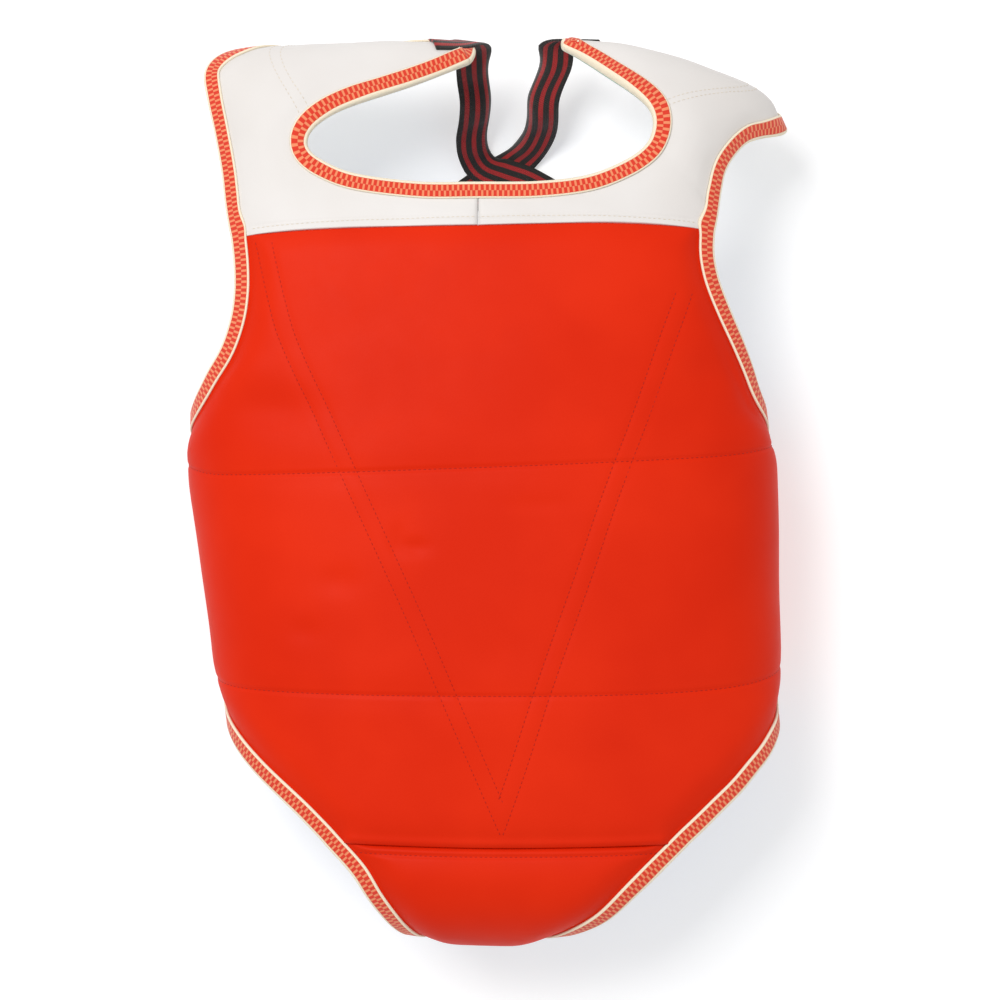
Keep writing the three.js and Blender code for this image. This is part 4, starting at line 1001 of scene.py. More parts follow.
class Yoke(Pad):
    """One half of the white yoke with its shoulder flap."""

    slot = Slot.WHITE
    full = 12 * MM
    seam_sections = 48
    flap_sections = 132
    columns = 54
    corner = 11 * MM
    hem = 5.5 * MM
    hint_rows = 11
    tip_rows = 7  # from the tip to the end of the neck's tape

    # Grooves beside the hem and the centre seam as depth, width and distance from them, in millimetres.
    HEM = ((-1.0, 4.5, 0), (0.6, 1.2, hem / MM))
    CENTRE = ((0.9, 1.0, 0),)

    def __init__(self, side: Side) -> None:
        """Lays the grid out from the centre seam to the tip and from the neck edge outwards.

        Args:
            side: The side.
        """
        form = YokeForm(side)
        self.side = side
        self.name = f"yoke_{side.value}"
        seam = np.linspace(0, form.SEAM_ROWS, self.seam_sections, endpoint=False)
        flap = np.linspace(form.SEAM_ROWS, form.LAST, self.flap_sections + 1)
        sections, shares = np.concatenate([seam, flap]), np.concatenate([eased(self.columns, 0.4), [1]])
        section, share = np.meshgrid(sections, shares, indexing="ij")
        step = form.step
        at = np.clip(section, 0, form.LAST - step)
        per_section = np.linalg.norm(form.point(at + step, share) - form.point(at, share), axis=-1) / step
        within = np.clip(share, 0, 1 - step)
        ahead = form.point(section, within + step)
        per_share = np.linalg.norm(ahead - form.point(section, within), axis=-1) / step
        for from_edge, way in ((share, 1), (1 - share, -1)):
            end, edge = round_corner((form.LAST - section) * per_section, from_edge * per_share, self.corner)
            near = (from_edge < 0.5) & (section > form.LAST - 2)
            section = np.where(near, form.LAST - end / per_section, section)
            share = np.where(near, (0 if way > 0 else 1) + way * edge / per_share, share)
        super().__init__(form, section, share)
        row = self.seam_sections
        out, back = self.points[:, 0], self.points[row:, -1][::-1]
        self.rims = [np.concatenate([out, self.points[-1, 1:-1], back])]
        self.seams = [self.points[: row + 1, -1], self.points[0]]
        self.sewn = [(seam[::3], shapes) for seam, shapes in zip(self.seams, (self.HEM, self.CENTRE))]

    def ripple(self, x: Array, y: Array, z: Array) -> Array:
        """Returns how far the cover ripples out at places. All are in millimetres."""
        low = 0.5 * np.sin(x / 19 + self.side.sign) * np.sin(y / 15 + 0.3)
        return low + 0.25 * np.sin(x / 8 - z / 11) * np.sin(y / 21)

    def borders(self) -> dict[str, Border]:
        """Finds the half's trimmed edge.

        Returns:
            The neck's stretch from the centre out, and the outer one from there round the tip to the seam.
        """
        last = len(self.u) - 1
        rows, tip = np.arange(last), last - self.tip_rows
        neck = rows[:tip + 1]
        stretches = {
            "neck": self.beside(neck, 0, np.minimum(neck, last - self.hint_rows), self.hint_columns),
            "outer": self.round_end(rows[tip:], rows[self.seam_sections + 1:][::-1]),
        }
        return {name: Border(self.surface, places) for name, places in stretches.items()}


# --- Folded binding, straps and stitches ----------------------------------------------------------


@dataclass(frozen=True)
class TapeFold:
    """The section of woven tape folded over a trimmed edge."""

    leg: float = 10.4 * MM
    proud: float = 1.65 * MM
    thickness: float = 1.1 * MM
    pressed: float = 0.45 * MM  # how far the stitches pull the leg's edge in
    pitch: float = 2 * MM

    REACHES = (10.4, 9.5, 6.6, 3.2)
    ANGLES = (90, 62, 32, 0, -32, -62, -90)

    def height(self, reach: float) -> float:
        """Returns how far the tape's outer face is from the middle surface, at a reach in from the edge."""
        half = mix(FOAM.trimmed, FOAM.under_tape, reach / FOAM.tape_width) / 2
        return half + self.proud - (self.pressed if reach >= self.leg - 0.1 * MM else 0)


class EdgeBinding:
    """Woven tape folded over a run of trimmed edges and sewn through them."""

    def __init__(self, name: str, borders: Sequence[Border], fold: TapeFold = TapeFold()) -> None:
        """Keeps the run.

        Args:
            name: The node that the tape replaces.
            borders: The stretches of edge, in order.
            fold: The tape's section.
        """
        self.name, self.borders, self.fold = name, borders, fold

    def stations(self) -> tuple[list[tuple[MiddleSurface, Array]], Array]:
        """Spaces stations along the run.

        Returns:
            The places of each stretch with its surface, and one way inwards for each station.
        """
        parts, points, hints, normals = [], [], [], []
        for border in self.borders:
            edge = border.surface.point(border.places[:, 0], border.places[:, 1])
            both = resampled(border.places, edge, self.fold.pitch)
            here = border.surface.point(both[:, 0], both[:, 1])
            parts.append((border.surface, both[:, :2]))
            points.append(here)
            hints.append(unit(border.surface.point(both[:, 2], both[:, 3]) - here))
            normals.append(border.surface.normal(both[:, 0], both[:, 1]))
        line, hint, normal = (np.concatenate(rows) for rows in (points, hints, normals))
        tangent = calmed(unit(np.gradient(line, axis=0)), 3)
        way = np.cross(normal, tangent)
        way *= np.sign(np.sum(way * hint, -1, keepdims=True))
        return parts, calmed(unit(way), 2)

    def build(self, tape: Material) -> Object:
        """Makes the tape's piece.

        Args:
            tape: The woven material.

        Returns:
            The piece.
        """
        parts, way = self.stations()
        fold = self.fold

        def at_reach(reach: float) -> tuple[Array, Array]:
            """Returns the run's middle points and normals a reach in from the edge."""
            points, normals, first = [], [], 0
            for surface, places in parts:
                ways = way[first: first + len(places)]
                u, v = surface.walk(places[:, 0], places[:, 1], ways, reach)
                points.append(surface.point(u, v))
                normals.append(surface.normal(u, v))
                first += len(places)
            line = evened(np.concatenate(points), 5 if reach > 3 * MM else 2)
            return line, calmed(np.concatenate(normals), 3)

        legs = [at_reach(reach * MM) for reach in fold.REACHES]
        edge, edge_normal = at_reach(0)
        outwards = unit(-way - edge_normal * np.sum(-way * edge_normal, -1, keepdims=True))
        outer, inner = [], []
        for sign in (1, -1):
            rows = zip(fold.REACHES, legs)
            for reach, (points, normals) in (rows if sign > 0 else reversed(list(rows))):
                height = fold.height(reach * MM)
                outer.append(points + sign * normals * height)
                inner.append(points + sign * normals * (height - fold.thickness))
            if sign < 0:
                continue
            for angle in np.radians(fold.ANGLES):
                height = fold.height(0)
                for shape, shrink in ((outer, 0), (inner, fold.thickness)):
                    out, up = (fold.proud - shrink) * math.cos(angle), (height - shrink) * math.sin(angle)
                    shape.append(edge + outwards * out + edge_normal * up)
        outer, inner = np.stack(outer, 1), np.stack(inner, 1)
        run, across = run_along(edge) / MM, run_along(outer[len(outer) // 2]) / MM
        middle = len(fold.REACHES) + fold.ANGLES.index(0)
        uv = np.stack(np.broadcast_arrays(run[:, None], across[middle] - across[None, :]), -1)
        mesh = shell_mesh(self.name, outer, inner, uv, (tape, tape))
        return new_object(f"{self.name}_tape", mesh, Slot.TAPE, (self.name,))


@dataclass(frozen=True)
class Strap:
    """A striped webbing strap from a flap's tip, over the neck opening and under the pad to the other wing."""

    side: Side
    width: float = 25 * MM
    thickness: float = 1.5 * MM
    stations: int = 230
    columns: int = 14
    pitch: float = 4 * MM
    curl: float = 0.8 * MM
    wave: float = 2 * MM
    rolled_up: float = 8 * MM  # how far one edge of the hanging part rolls up, and how far in
    rolled_in: float = 3.6 * MM

    # Places on the route: the sewn end, where it stops drooping, and where the hanging part begins and ends.
    sewn: float = 3.0
    drooping: float = 4.5
    hanging: tuple[float, float] = (4, 12)

    sway = {Side.LEFT: 0.5 * MM, Side.RIGHT: 1.5 * MM}
    drop = {Side.LEFT: 2 * MM, Side.RIGHT: 14 * MM}
    on_flap = 8  # the first section of a yoke half that may carry the end
    kernel = 5 * MM
    clearance = 0.9 * MM

    # Routes of the middle lines as shares across, above the yoke seam and up, then a direction across each.
    ROUTES = {
        Side.LEFT: (
            (-0.19, 1, 0.649, 0.28, -0.46, 0.85), (-0.135, 1.006, 0.636, 0.36, -0.42, 0.83),
            (-0.085, 1.014, 0.599, 0.6, -0.3, 0.73), (-0.06, 1.02, 0.536, 0.86, -0.15, 0.48),
            (-0.052, 1, 0.464, 0.98, -0.05, 0.15), (-0.049, 0.938, 0.398, 1, 0, 0),
            (-0.045, 0.842, 0.331, 1, 0, 0), (-0.04, 0.738, 0.271, 1, 0, 0),
            (-0.043, 0.638, 0.199, 1, 0, 0), (-0.05, 0.554, 0.127, 1, 0, 0),
            (-0.045, 0.481, 0.075, 0.98, 0.2, 0), (-0.015, 0.419, 0.051, 0.8, 0.6, 0),
            (0.055, 0.377, 0.039, 0.42, 0.9, 0), (0.15, 0.323, 0.033, 0.5, 0.86, 0),
            (0.275, 0.192, 0.02, 0.7, 0.72, 0), (0.4, -0.077, 0.008, 0.84, 0.54, 0),
            (0.49, -0.408, 0.006, 0.92, 0.39, 0), (0.56, -0.692, 0.006, 0.93, 0.36, 0),
            (0.62, -0.962, 0.006, 0.9, 0.43, 0), (0.67, -1.115, 0.006, 0.75, 0.66, 0),
            (0.725, -1.208, 0.008, 0.42, 0.9, 0), (0.77, -1.242, 0.027, 0.1, 0.99, 0),
            (0.795, -1.254, 0.072, 0, 1, 0), (0.807, -1.254, 0.139, 0, 1, 0), (0.81, -1.254, 0.217, 0, 1, 0),
        ),
        Side.RIGHT: (
            (0.39, 1.035, 0.572, -0.25, -0.22, 0.94), (0.335, 1.049, 0.56, -0.32, -0.24, 0.92),
            (0.282, 1.054, 0.524, -0.55, -0.22, 0.8), (0.25, 1.052, 0.47, -0.82, -0.15, 0.55),
            (0.235, 1.029, 0.41, -0.97, -0.05, 0.2), (0.228, 0.969, 0.361, -1, 0, 0.05),
            (0.212, 0.877, 0.319, -1, 0, 0), (0.193, 0.762, 0.277, -1, 0, 0),
            (0.18, 0.662, 0.211, -1, 0, 0), (0.163, 0.569, 0.114, -1, 0, 0),
            (0.135, 0.5, 0.042, -0.95, 0.3, 0), (0.085, 0.442, 0.013, -0.75, 0.66, 0),
            (0.02, 0.373, 0.006, -0.6, 0.8, 0), (-0.125, 0.208, 0.006, -0.68, 0.73, 0),
            (-0.29, -0.077, 0.006, -0.77, 0.64, 0), (-0.45, -0.408, 0.006, -0.83, 0.56, 0),
            (-0.56, -0.7, 0.006, -0.88, 0.47, 0), (-0.645, -0.977, 0.006, -0.86, 0.5, 0),
            (-0.705, -1.131, 0.006, -0.74, 0.67, 0), (-0.755, -1.215, 0.008, -0.42, 0.9, 0),
            (-0.8, -1.246, 0.028, -0.1, 0.99, 0), (-0.823, -1.254, 0.072, 0, 1, 0),
            (-0.833, -1.254, 0.139, 0, 1, 0), (-0.837, -1.254, 0.217, 0, 1, 0),
        ),
    }

    def laid(self, middle: Array, place: Array, yoke: Yoke) -> Array:
        """Lays the strap's sewn end on the outer face of its shoulder flap.

        Args:
            middle: The strap's middle points, rows by columns.
            place: The place of each row on the route.
            yoke: The yoke half whose flap carries the strap.

        Returns:
            The points, with those of the end moved to the flap.
        """
        rows = np.flatnonzero(place < self.sewn)
        flap = yoke.u[:, 0] > self.on_flap
        u, v = yoke.u[flap].ravel(), yoke.v[flap].ravel()
        face, normals = yoke.face(u, v), yoke.surface.normal(u, v)
        points = middle[rows].reshape(-1, 3)
        away = np.linalg.norm(points[:, None, :] - face[None, :, :], axis=-1)
        weight = np.exp(-((away - away.min(axis=1, keepdims=True)) / self.kernel) ** 2)
        weight /= weight.sum(axis=1, keepdims=True)
        foot, normal = weight @ face, unit(weight @ normals)
        lift = self.thickness / 2 + self.clearance - np.sum((points - foot) * normal, axis=-1)
        on_flap = (points + normal * lift[:, None]).reshape(len(rows), -1, 3)
        share = smooth((self.sewn - place[rows]) / 1.4)[:, None, None]
        moved = middle.copy()
        moved[rows] = mix(middle[rows], on_flap, share)
        end = len(rows) + 4
        moved[:end] = evened(moved[:end], 5)
        return moved

    def build(self, webbing: Material, yoke: Yoke) -> Object:
        """Makes the strap's piece.

        Args:
            webbing: The striped material.
            yoke: The yoke half whose flap carries the strap.

        Returns:
            The piece.
        """
        route = np.array(self.ROUTES[self.side], float)
        line = Curve(range(len(route)), yoke_place(route[:, :3]))
        sides = Curve(range(len(route)), route[:, 3:])
        rows = np.linspace(0, len(route) - 1, self.stations + 1)
        place = resampled(rows[:, None], line(rows), self.pitch)[:, 0]
        centre, side = line(place), unit(sides(place))
        centre[:, 2] -= self.drop[self.side] * smooth((self.drooping - place) / 2.5)
        up = unit(np.cross(unit(np.gradient(centre, axis=0)), side))
        t = np.linspace(-1, 1, self.columns + 1)
        begins, ends = self.hanging
        hanging = smooth((place - begins) / 2) * smooth((ends - place) / 3)
        wave = self.wave * np.sin(place * 2.9 + self.side.sign)[:, None] * np.cos(t * 1.7)[None, :]
        rolled = np.clip((t - 0.25) / 0.75, 0, 1) ** 1.5
        bend = (self.curl * t * t + self.side.sign * self.rolled_up * rolled)[None, :] + wave
        lift = (hanging[:, None] * bend)[..., None] * up[:, None, :]
        sway = self.sway[self.side] * np.sin(place * 1.9 + 0.6)[:, None] - self.rolled_in * rolled[None, :]
        reach = (t * self.width / 2)[None, :] + hanging[:, None] * sway
        middle = centre[:, None, :] + side[:, None, :] * reach[..., None] + lift
        middle = self.laid(middle, place, yoke)
        edge = 1 - 0.45 * np.abs(t) ** 12
        facing = unit(np.cross(np.gradient(middle, axis=0), np.gradient(middle, axis=1)))
        offset = facing * (self.thickness / 2 * edge)[None, :, None]
        run, across = run_along(centre) / MM, (t + 1) / 2 * self.width / MM
        uv = np.stack(np.broadcast_arrays(run[:, None], across[None, :]), -1)
        name = f"strap_{self.side.value}"
        mesh = shell_mesh(name, middle + offset, middle - offset, uv, (webbing, webbing))
        return new_object(f"{name}_webbing", mesh, Slot.WEBBING, (name,))


@dataclass(frozen=True)
class StitchRun:
    """Lines of thread stitches sunk into a pad's outer face."""

    name: str
    pad: Pad
    lines: tuple[Array, ...]
    slot: Slot
    pitch: float = 3.3 * MM
    length: float = 2.2 * MM
    thread: float = 0.55 * MM
    sunk: float = 0.12  # how far above the cover a stitch's middle is, as a share of its thickness

    def build(self, thread: Material) -> Object:
        """Makes one piece from every stitch of the run.

        Args:
            thread: The thread's material.

        Returns:
            The piece.
        """
        stitches = bmesh.new()
        for places in self.lines:
            rough = self.pad.surface.point(places[:, 0], places[:, 1])
            even = resampled(places, rough, self.pitch)
            points = self.pad.face(even[:, 0], even[:, 1])
            normals = self.pad.surface.normal(even[:, 0], even[:, 1])
            tangents = unit(np.gradient(points, axis=0))
            scale = np.array((self.length, self.thread, self.thread)) / 2
            for point, normal, tangent in zip(points, normals, tangents):
                across = unit(np.cross(normal, tangent))
                turn = np.eye(4)
                turn[:3, :3] = np.stack([tangent, across, np.cross(tangent, across)], 1) * scale
                turn[:3, 3] = point + normal * self.thread * self.sunk
                bmesh.ops.create_uvsphere(stitches, u_segments=6, v_segments=4, radius=1, matrix=Matrix(turn))
        bmesh.ops.recalc_face_normals(stitches, faces=stitches.faces[:])
        mesh = bpy.data.meshes.new(self.name)
        stitches.to_mesh(mesh)
        stitches.free()
        mesh.polygons.foreach_set("use_smooth", np.ones(len(mesh.polygons), bool))
        mesh.materials.append(thread)
        return new_object(self.name, mesh, self.slot)


# --- Finishes -------------------------------------------------------------------------------------


def linear(colour: str) -> tuple[float, float, float, float]:
    """Turns an sRGB hex colour such as "#e9351a" into linear red, green, blue and alpha."""
    parts = [int(colour[k: k + 2], 16) / 255 for k in (1, 3, 5)]
    red, green, blue = (p / 12.92 if p <= 0.04045 else ((p + 0.055) / 1.055) ** 2.4 for p in parts)
    return red, green, blue, 1.0


def add_node(tree: NodeTree, kind: str, inputs: dict | None = None, **settings) -> Node:
    """Adds a node to a material.

    Args:
        tree: The material's node tree.
        kind: The node's type.
        inputs: A value or an output socket for each input to fill.
        **settings: The node's options.

    Returns:
        The node.
    """
    node = tree.nodes.new(kind)
    for name, value in settings.items():
        setattr(node, name, value)
    for key, value in (inputs or {}).items():
        if isinstance(value, NodeSocket):
            tree.links.new(value, node.inputs[key])
        else:
            node.inputs[key].default_value = value
    return node


def per_metre(size_mm: float) -> float:
    """Returns the pattern scale that gives cells of a size in millimetres."""
    return 1000 / size_mm


class Recipe:
    """A material in the making. Most steps add one node and return what comes out of it."""

    def __init__(self, name: str) -> None:
        """Starts an empty material.

        Args:
            name: The material's name.
        """
        self.material = bpy.data.materials.new(name)
        self.material.use_nodes = True
        self.tree = self.material.node_tree
        self.tree.nodes.clear()

    def place(self) -> NodeSocket:
        """Returns the object coordinates."""
        return add_node(self.tree, "ShaderNodeTexCoord").outputs["Object"]

    def pattern(self) -> tuple[NodeSocket, ...]:
        """Reads the piece's own pattern coordinates, which are in millimetres.

        Returns:
            The coordinates, and how far along and across the piece they are.
        """
        uv = add_node(self.tree, "ShaderNodeUVMap", uv_map="pattern").outputs["UV"]
        parts = add_node(self.tree, "ShaderNodeSeparateXYZ", {"Vector": uv})
        return uv, parts.outputs["X"], parts.outputs["Y"]

    def noise(self, place: object, scale: float, detail: float, roughness: float = 0.5) -> NodeSocket:
        """Returns cloudy noise, mostly between 0.3 and 0.7."""
        inputs = {"Vector": place, "Scale": scale, "Detail": detail, "Roughness": roughness}
        return add_node(self.tree, "ShaderNodeTexNoise", inputs).outputs["Fac"]

    def ramp(
        self, value: object, start: float, end: float, low: float = 0.0, high: float = 1.0,
        kind: str = "LINEAR",
    ) -> NodeSocket:
        """Returns low below start, high above end and a rise between them."""
        inputs = {"Value": value, "From Min": start, "From Max": end, "To Min": low, "To Max": high}
        return add_node(self.tree, "ShaderNodeMapRange", inputs, interpolation_type=kind).outputs["Result"]

    def calc(self, kind: str, *values: object) -> NodeSocket:
        """Returns the result of one sum."""
        return add_node(self.tree, "ShaderNodeMath", dict(enumerate(values)), operation=kind).outputs["Value"]

    def blend(self, share: object, low: object, high: object, kind: str = "RGBA") -> NodeSocket:
        """Returns a colour or a number between two. A colour is an output socket or sRGB hex."""
        first, second = (linear(end) if isinstance(end, str) else end for end in (low, high))
        inputs = {"Factor": share, "A": first, "B": second}
        return add_node(self.tree, "ShaderNodeMix", inputs, data_type=kind).outputs["Result"]

    def bump(self, height: object, strength: float, depth: float, **under: NodeSocket) -> NodeSocket:
        """Returns a normal that follows a relief, on top of the Normal under it."""
        inputs = {"Strength": strength, "Distance": depth, "Height": height, **under}
        return add_node(self.tree, "ShaderNodeBump", inputs).outputs["Normal"]

    def finish(self, inputs: dict) -> Material:
        """Ends in a surface shader with the given inputs, and returns the material."""
        shader = add_node(self.tree, "ShaderNodeBsdfPrincipled", inputs)
        add_node(self.tree, "ShaderNodeOutputMaterial", {"Surface": shader.outputs["BSDF"]})
        return self.material


@dataclass(frozen=True)
class Vinyl:
    """Coated polyurethane leatherette, calendered: even colour, a fine pressed grain and a satin shine."""

    name: str
    colour: str
    shade: str
    roughness: float = 0.5
    grain_mm: float = 1.1  # the real grain is about 0.6 mm and would not show
    grain_depth: float = 0.12
    cloud_mm: float = 120.0
    scuff_mm: float = 14.0
    ripple_mm: float = 5.0

    def material(self) -> Material:
        """Returns the finish as a material."""
        recipe = Recipe(self.name)
        place = recipe.place()
        cloud = recipe.ramp(recipe.noise(place, per_metre(self.cloud_mm), 3.0, 0.55), 0.35, 0.65)
        scuff = recipe.noise(place, per_metre(self.scuff_mm), 4.0, 0.6)
        rough = recipe.ramp(scuff, 0.3, 0.7, self.roughness - 0.02, self.roughness + 0.03)
        pitch = per_metre(self.grain_mm)
        cells = add_node(recipe.tree, "ShaderNodeTexVoronoi", {"Vector": place, "Scale": pitch})
        ripple = recipe.bump(recipe.noise(place, per_metre(self.ripple_mm), 2.0), 0.12, 0.15 * MM)
        grain = recipe.bump(cells.outputs["Distance"], self.grain_depth, 0.2 * MM, Normal=ripple)
        return recipe.finish({
            "Base Color": recipe.blend(cloud, self.shade, self.colour), "Roughness": rough, "IOR": 1.5,
            "Specular IOR Level": 0.07, "Normal": grain})


@dataclass(frozen=True)
class WovenTape:
    """Jacquard polyester tape: cream fold and selvedge, and two staggered rows of coloured blocks between."""

    name: str = "jacquard_polyester_tape"
    cream: str = "#f6ead0"
    ground: str = "#ef8c60"
    block: str = "#dc2507"
    reverse_ground: str = "#b4d9c4"
    reverse_block: str = "#2f8b8a"
    pitch_mm: float = 3.5
    row_mm: float = 4.2
    band_mm: float = 5.2
    reverse_mm: float = 1.4
    rib_mm: float = 1.15  # the real weft is about 0.5 mm and would not show
    worn: str = "#b98f74"

    def material(self) -> Material:
        """Returns the finish as a material."""
        recipe = Recipe(self.name)
        calc, blend = recipe.calc, recipe.blend
        uv, along, across = recipe.pattern()

        def step(value: object, start: float, end: float) -> NodeSocket:
            """Returns 0 below start and 1 above end, eased between."""
            return recipe.ramp(value, start, end, kind="SMOOTHSTEP")

        def between(value: object, rise: tuple[float, float], fall: tuple[float, float]) -> NodeSocket:
            """Returns 1 between an eased rise and an eased fall."""
            return calc("MULTIPLY", step(value, *rise), calc("SUBTRACT", 1.0, step(value, *fall)))

        away = calc("ABSOLUTE", across)
        height = calc("DIVIDE", calc("SUBTRACT", away, self.band_mm), self.row_mm)
        row = calc("FLOOR", height)
        phase = calc("MULTIPLY_ADD", row, 0.5, calc("DIVIDE", along, self.pitch_mm))
        wide = between(calc("FRACT", phase), (0.04, 0.16), (0.64, 0.76))
        tall = between(calc("SUBTRACT", height, row), (-0.1, 0.06), (0.94, 1.1))
        outside = step(across, -0.4, 0.4)
        reverse = calc("SUBTRACT", 1.0, step(across, -self.reverse_mm - 0.3, -self.reverse_mm))
        end = self.band_mm + 2 * self.row_mm
        front = calc("MULTIPLY", outside, between(away, (self.band_mm - 0.3, self.band_mm), (end, end + 0.3)))
        cords = calc("MULTIPLY", wide, step(away, self.band_mm, self.band_mm + 1.5))
        under, over = calc("MULTIPLY", cords, reverse), calc("MULTIPLY", calc("MULTIPLY", wide, tall), front)
        block = blend(outside, under, over, "FLOAT")
        ground = blend(outside, self.reverse_ground, self.ground)
        banded = blend(calc("MAXIMUM", front, reverse), self.cream, ground)
        colour = blend(block, banded, blend(outside, self.reverse_block, self.block))
        fuzz = recipe.noise(uv, 0.9, 4.0, 0.7)
        ribs = calc("SINE", calc("MULTIPLY", along, 2 * math.pi / self.rib_mm))
        relief = calc("ADD", calc("MULTIPLY", ribs, 0.28), calc("MULTIPLY", block, 0.6))
        return recipe.finish({
            "Base Color": blend(calc("MULTIPLY", fuzz, 0.16), colour, self.worn), "Roughness": 0.78,
            "Sheen Weight": 0.25, "Sheen Roughness": 0.5, "Specular IOR Level": 0.25,
            "Normal": recipe.bump(relief, 0.7, 0.35 * MM)})


@dataclass(frozen=True)
class StripedWebbing:
    """Woven polypropylene webbing: black with three red stripes, ribbed across, with a dull shine."""

    name: str = "polypropylene_webbing"
    black: str = "#1c1813"
    red: str = "#ac1d1d"
    centres_mm: tuple[float, ...] = (5.2, 12.5, 19.8)
    stripe_mm: float = 3.2
    rib_mm: float = 1.4  # drawn coarser than the real 0.9 mm so that it shows
    cord_mm: float = 1.3
    worn: str = "#352a24"

    def material(self) -> Material:
        """Returns the finish as a material."""
        recipe = Recipe(self.name)
        calc = recipe.calc
        uv, along, across = recipe.pattern()
        stripes: object = 0.0
        for centre in self.centres_mm:
            away, half = calc("ABSOLUTE", calc("SUBTRACT", across, centre)), self.stripe_mm / 2
            stripes = calc("ADD", stripes, recipe.ramp(away, half - 0.25, half + 0.25, 1.0, 0.0))
        shift = calc("MULTIPLY", calc("FLOOR", calc("DIVIDE", across, self.cord_mm)), 0.5)
        turns = calc("ADD", calc("DIVIDE", along, self.rib_mm), shift)
        ribs = calc("SINE", calc("MULTIPLY", turns, 2 * math.pi))
        cords = calc("SINE", calc("MULTIPLY", across, 2 * math.pi / self.cord_mm))
        relief = calc("ADD", calc("MULTIPLY", ribs, 0.5), calc("MULTIPLY", cords, 0.3))
        fuzz = recipe.noise(uv, 1.4, 3.0)
        colour = recipe.blend(stripes, self.black, self.red)
        return recipe.finish({
            "Base Color": recipe.blend(calc("MULTIPLY", fuzz, 0.2), colour, self.worn), "Roughness": 0.62,
            "Sheen Weight": 0.15, "Specular IOR Level": 0.35, "Normal": recipe.bump(relief, 0.8, 0.35 * MM)})


@dataclass(frozen=True)
class Thread:
    """Twisted polyester sewing thread: matt, with a slight twist along each stitch."""

    name: str
    colour: str
    shade: str
    twist_mm: float = 1.2

    def material(self) -> Material:
        """Returns the finish as a material."""
        recipe = Recipe(self.name)
        twist = recipe.noise(recipe.place(), per_metre(self.twist_mm), 2.0)
        return recipe.finish({
            "Base Color": recipe.blend(twist, self.shade, self.colour), "Roughness": 0.6,
            "Specular IOR Level": 0.3, "Normal": recipe.bump(twist, 0.3, 0.1 * MM)})


@dataclass(frozen=True)
class PaleFloor:
    """Matt pale board with a barely uneven surface. It glows evenly, which is painted light that keeps the
    shadows on it pale.
    """

    name: str = "studio_board"
    colour: str = "#d6d6d6"
    shade: str = "#d2d2d2"
    cloud_mm: float = 400.0
    # The board's glow is painted light: it is no lamp, and the glow lifts the shadows cast on it.
    painted_glow: float = 0.45

    def material(self) -> Material:
        """Returns the finish as a material."""
        recipe = Recipe(self.name)
        cloud = recipe.noise(recipe.place(), per_metre(self.cloud_mm), 2.0)
        return recipe.finish({
            "Base Color": recipe.blend(cloud, self.shade, self.colour), "Roughness": 0.9,
            "Specular IOR Level": 0.1, "Emission Color": linear("#ffffff"), "Emission Strength": self.painted_glow})


# --- The guard and the studio ---------------------------------------------------------------------


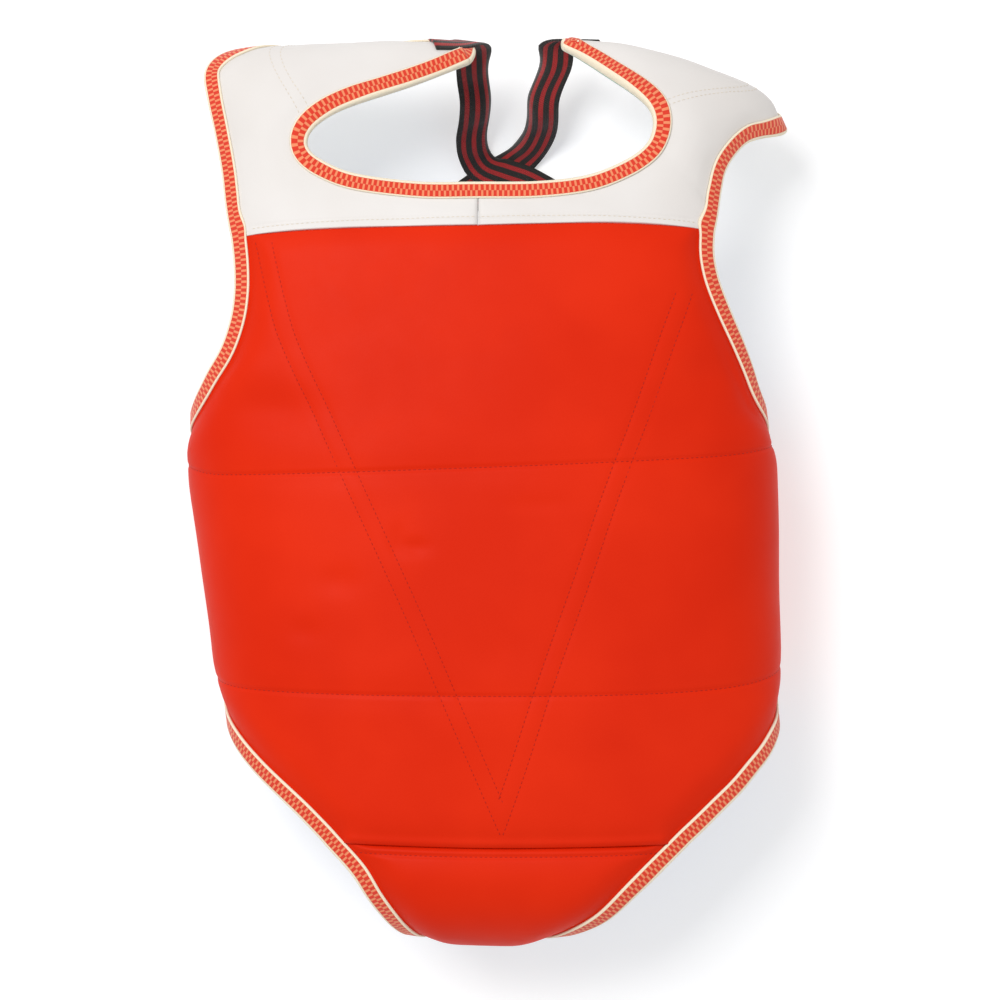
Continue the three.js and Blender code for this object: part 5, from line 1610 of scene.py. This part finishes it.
class ChestGuard:
    """The whole guard, built panel by panel."""

    welt_ends = 13 * MM  # from the ends of the welt's stitches to the flap's sides
    hem_sections = (0.06, 2.72)
    hinges = {Side.LEFT: (6.4, 6.95), Side.RIGHT: (7.3, 7.75)}  # the hinge lines' first sections

    def __init__(self) -> None:
        """Lays out the pads and makes the finishes."""
        self.torso = TorsoPad()
        self.flap = LowerFlap()
        self.yokes = {side: Yoke(side) for side in Side}
        self.red = Vinyl("red_leatherette", "#dd2b0a", "#d42506").material()
        self.blue = Vinyl("blue_leatherette", "#1f56ab", "#1a4a9a").material()
        self.white = Vinyl("white_leatherette", "#e2dedb", "#dcd7d3", roughness=0.45).material()
        self.grey = Vinyl("pale_reverse_leatherette", "#dfe0dc", "#d3d5d2", roughness=0.5).material()

    def build_pads(self) -> None:
        """Makes the torso, the lower flap and both yoke halves."""
        self.torso.build(self.red, self.blue)
        self.flap.build(self.red, self.blue)
        for yoke in self.yokes.values():
            yoke.build(self.white, self.grey)

    def build_bindings(self) -> None:
        """Folds the tape over every trimmed edge."""
        tape = WovenTape().material()
        edges = {side: self.torso.borders(side) for side in Side}
        rims = {side: yoke.borders() for side, yoke in self.yokes.items()}
        left, right = Side.LEFT, Side.RIGHT
        EdgeBinding("neck_binding", [rims[left]["neck"].reversed(), rims[right]["neck"]]).build(tape)
        EdgeBinding("hem_binding", [
            edges[left]["low"], self.flap.border(), edges[right]["low"].reversed()]).build(tape)
        for side in Side:
            name = f"armhole_binding_{side.value}"
            EdgeBinding(name, [rims[side]["outer"], edges[side]["high"].reversed()]).build(tape)
            EdgeBinding(f"wing_binding_{side.value}", [edges[side]["wing"]]).build(tape)

    def build_straps(self) -> None:
        """Lays both straps."""
        webbing = StripedWebbing().material()
        for side, yoke in self.yokes.items():
            Strap(side).build(webbing, yoke)

    def build_stitches(self) -> None:
        """Sews the channels, the V, the welt, the hems and the flaps' hinge lines."""
        dark_red = Thread("dark_red_thread", "#b81c0a", "#981506").material()
        off_white = Thread("off_white_thread", "#e6dccb", "#cfc3ae").material()
        spread = np.linspace(-1.9, 1.9, 200)
        channels = [np.stack([spread, table(spread)], 1) for table in (CHANNEL_LOW, CHANNEL_HIGH)]
        sewn = (*channels, *self.torso.stitched_v())
        StitchRun("torso_stitches", self.torso, sewn, Slot.RED).build(dark_red)
        left, right = (self.flap.surface.side_at(side, self.flap.welt) for side in Side)
        row = np.linspace(left + self.welt_ends, right - self.welt_ends, 120)
        welt = np.stack([row, np.full_like(row, self.flap.welt)], 1)
        StitchRun("welt_stitches", self.flap, (welt,), Slot.RED).build(dark_red)
        for side, yoke in self.yokes.items():
            form = yoke.surface
            section = np.linspace(*self.hem_sections, 90)
            per_share = np.linalg.norm(form.point(section, 1.0) - form.point(section, 0.99), axis=-1) / 0.01
            lines = [np.stack([section, 1 - yoke.hem / per_share], 1)]
            for start in self.hinges[side]:
                hinge = Curve((0.16, 0.4, 0.65, 0.86), (start, start + 1.2, start + 2.8, start + 4.2))
                share = np.linspace(0.16, 0.86, 60)
                lines.append(np.stack([hinge(share), share], 1))
            StitchRun(f"yoke_stitches_{side.value}", yoke, tuple(lines), Slot.WHITE).build(off_white)


@dataclass(frozen=True)
class Lamp:
    """A soft square light that faces the guard: where it hangs, its side's length and its power in watts."""

    name: str
    place: tuple[float, float, float]
    size: float
    power: float
    aim: tuple[float, float, float] = (0, 0, 0.05)

    def build(self) -> None:
        """Hangs the light."""
        data = bpy.data.lights.new(self.name, "AREA")
        data.size, data.energy = self.size, self.power
        lamp = bpy.data.objects.new(self.name, data)
        lamp.location = self.place
        lamp.rotation_euler = (Vector(self.aim) - Vector(self.place)).to_track_quat("-Z", "Y").to_euler()
        bpy.context.scene.collection.objects.link(lamp)


@dataclass(frozen=True)
class Studio:
    """A pale floor, soft lights and a camera that looks straight down."""

    camera_place: tuple[float, float, float] = (0.0079, -0.01095, 2.15)
    lens: float = 109.08
    sensor: float = 36.0
    floor_half: float = 4.0
    sky: float = 0.54
    lamps: tuple[Lamp, ...] = (
        Lamp("key_light", (-0.9, 0.9, 2.6), 1.0, 47), Lamp("fill_light", (1.4, -0.6, 2.4), 2.2, 9))

    def build(self) -> None:
        """Makes the floor, the lights and the camera."""
        mesh = bpy.data.meshes.new("floor")
        board = bmesh.new()
        bmesh.ops.create_grid(board, x_segments=2, y_segments=2, size=self.floor_half)
        board.to_mesh(mesh)
        board.free()
        mesh.materials.append(PaleFloor().material())
        floor = bpy.data.objects.new("floor", mesh)
        bpy.context.scene.collection.objects.link(floor)
        floor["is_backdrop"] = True
        for lamp in self.lamps:
            lamp.build()
        world = bpy.data.worlds.new("studio")
        world.use_nodes = True
        background = world.node_tree.nodes["Background"]
        background.inputs["Color"].default_value = linear("#ffffff")
        background.inputs["Strength"].default_value = self.sky
        bpy.context.scene.world = world
        # The plain transform shows the finishes in the colours given for them, on a white ground.
        bpy.context.scene.view_settings.view_transform = "Standard"
        data = bpy.data.cameras.new("camera")
        data.lens, data.sensor_width = self.lens, self.sensor
        camera = bpy.data.objects.new("camera", data)
        camera.location = self.camera_place
        bpy.context.scene.collection.objects.link(camera)
        bpy.context.scene.camera = camera


def write_sizes(before: tuple[Vector, Vector]) -> None:
    """Gathers the CAD model's box and the dressed model's box, and does nothing more with them.

    Args:
        before: The CAD model's lowest and highest corners.
    """
    boxes = {"cad": before, "visual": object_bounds()}
    {name: [list(corner) for corner in box] for name, box in boxes.items()}


def main() -> None:
    """Builds the studio and the guard in order."""
    logging.basicConfig(level=logging.INFO, format="%(relativeCreated)6.0f ms %(name)s: %(message)s")
    cad_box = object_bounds()
    Studio().build()
    guard = ChestGuard()
    guard.build_pads()
    guard.build_bindings()
    guard.build_straps()
    guard.build_stitches()
    write_sizes(cad_box)


if __name__ == "__main__":
    main()
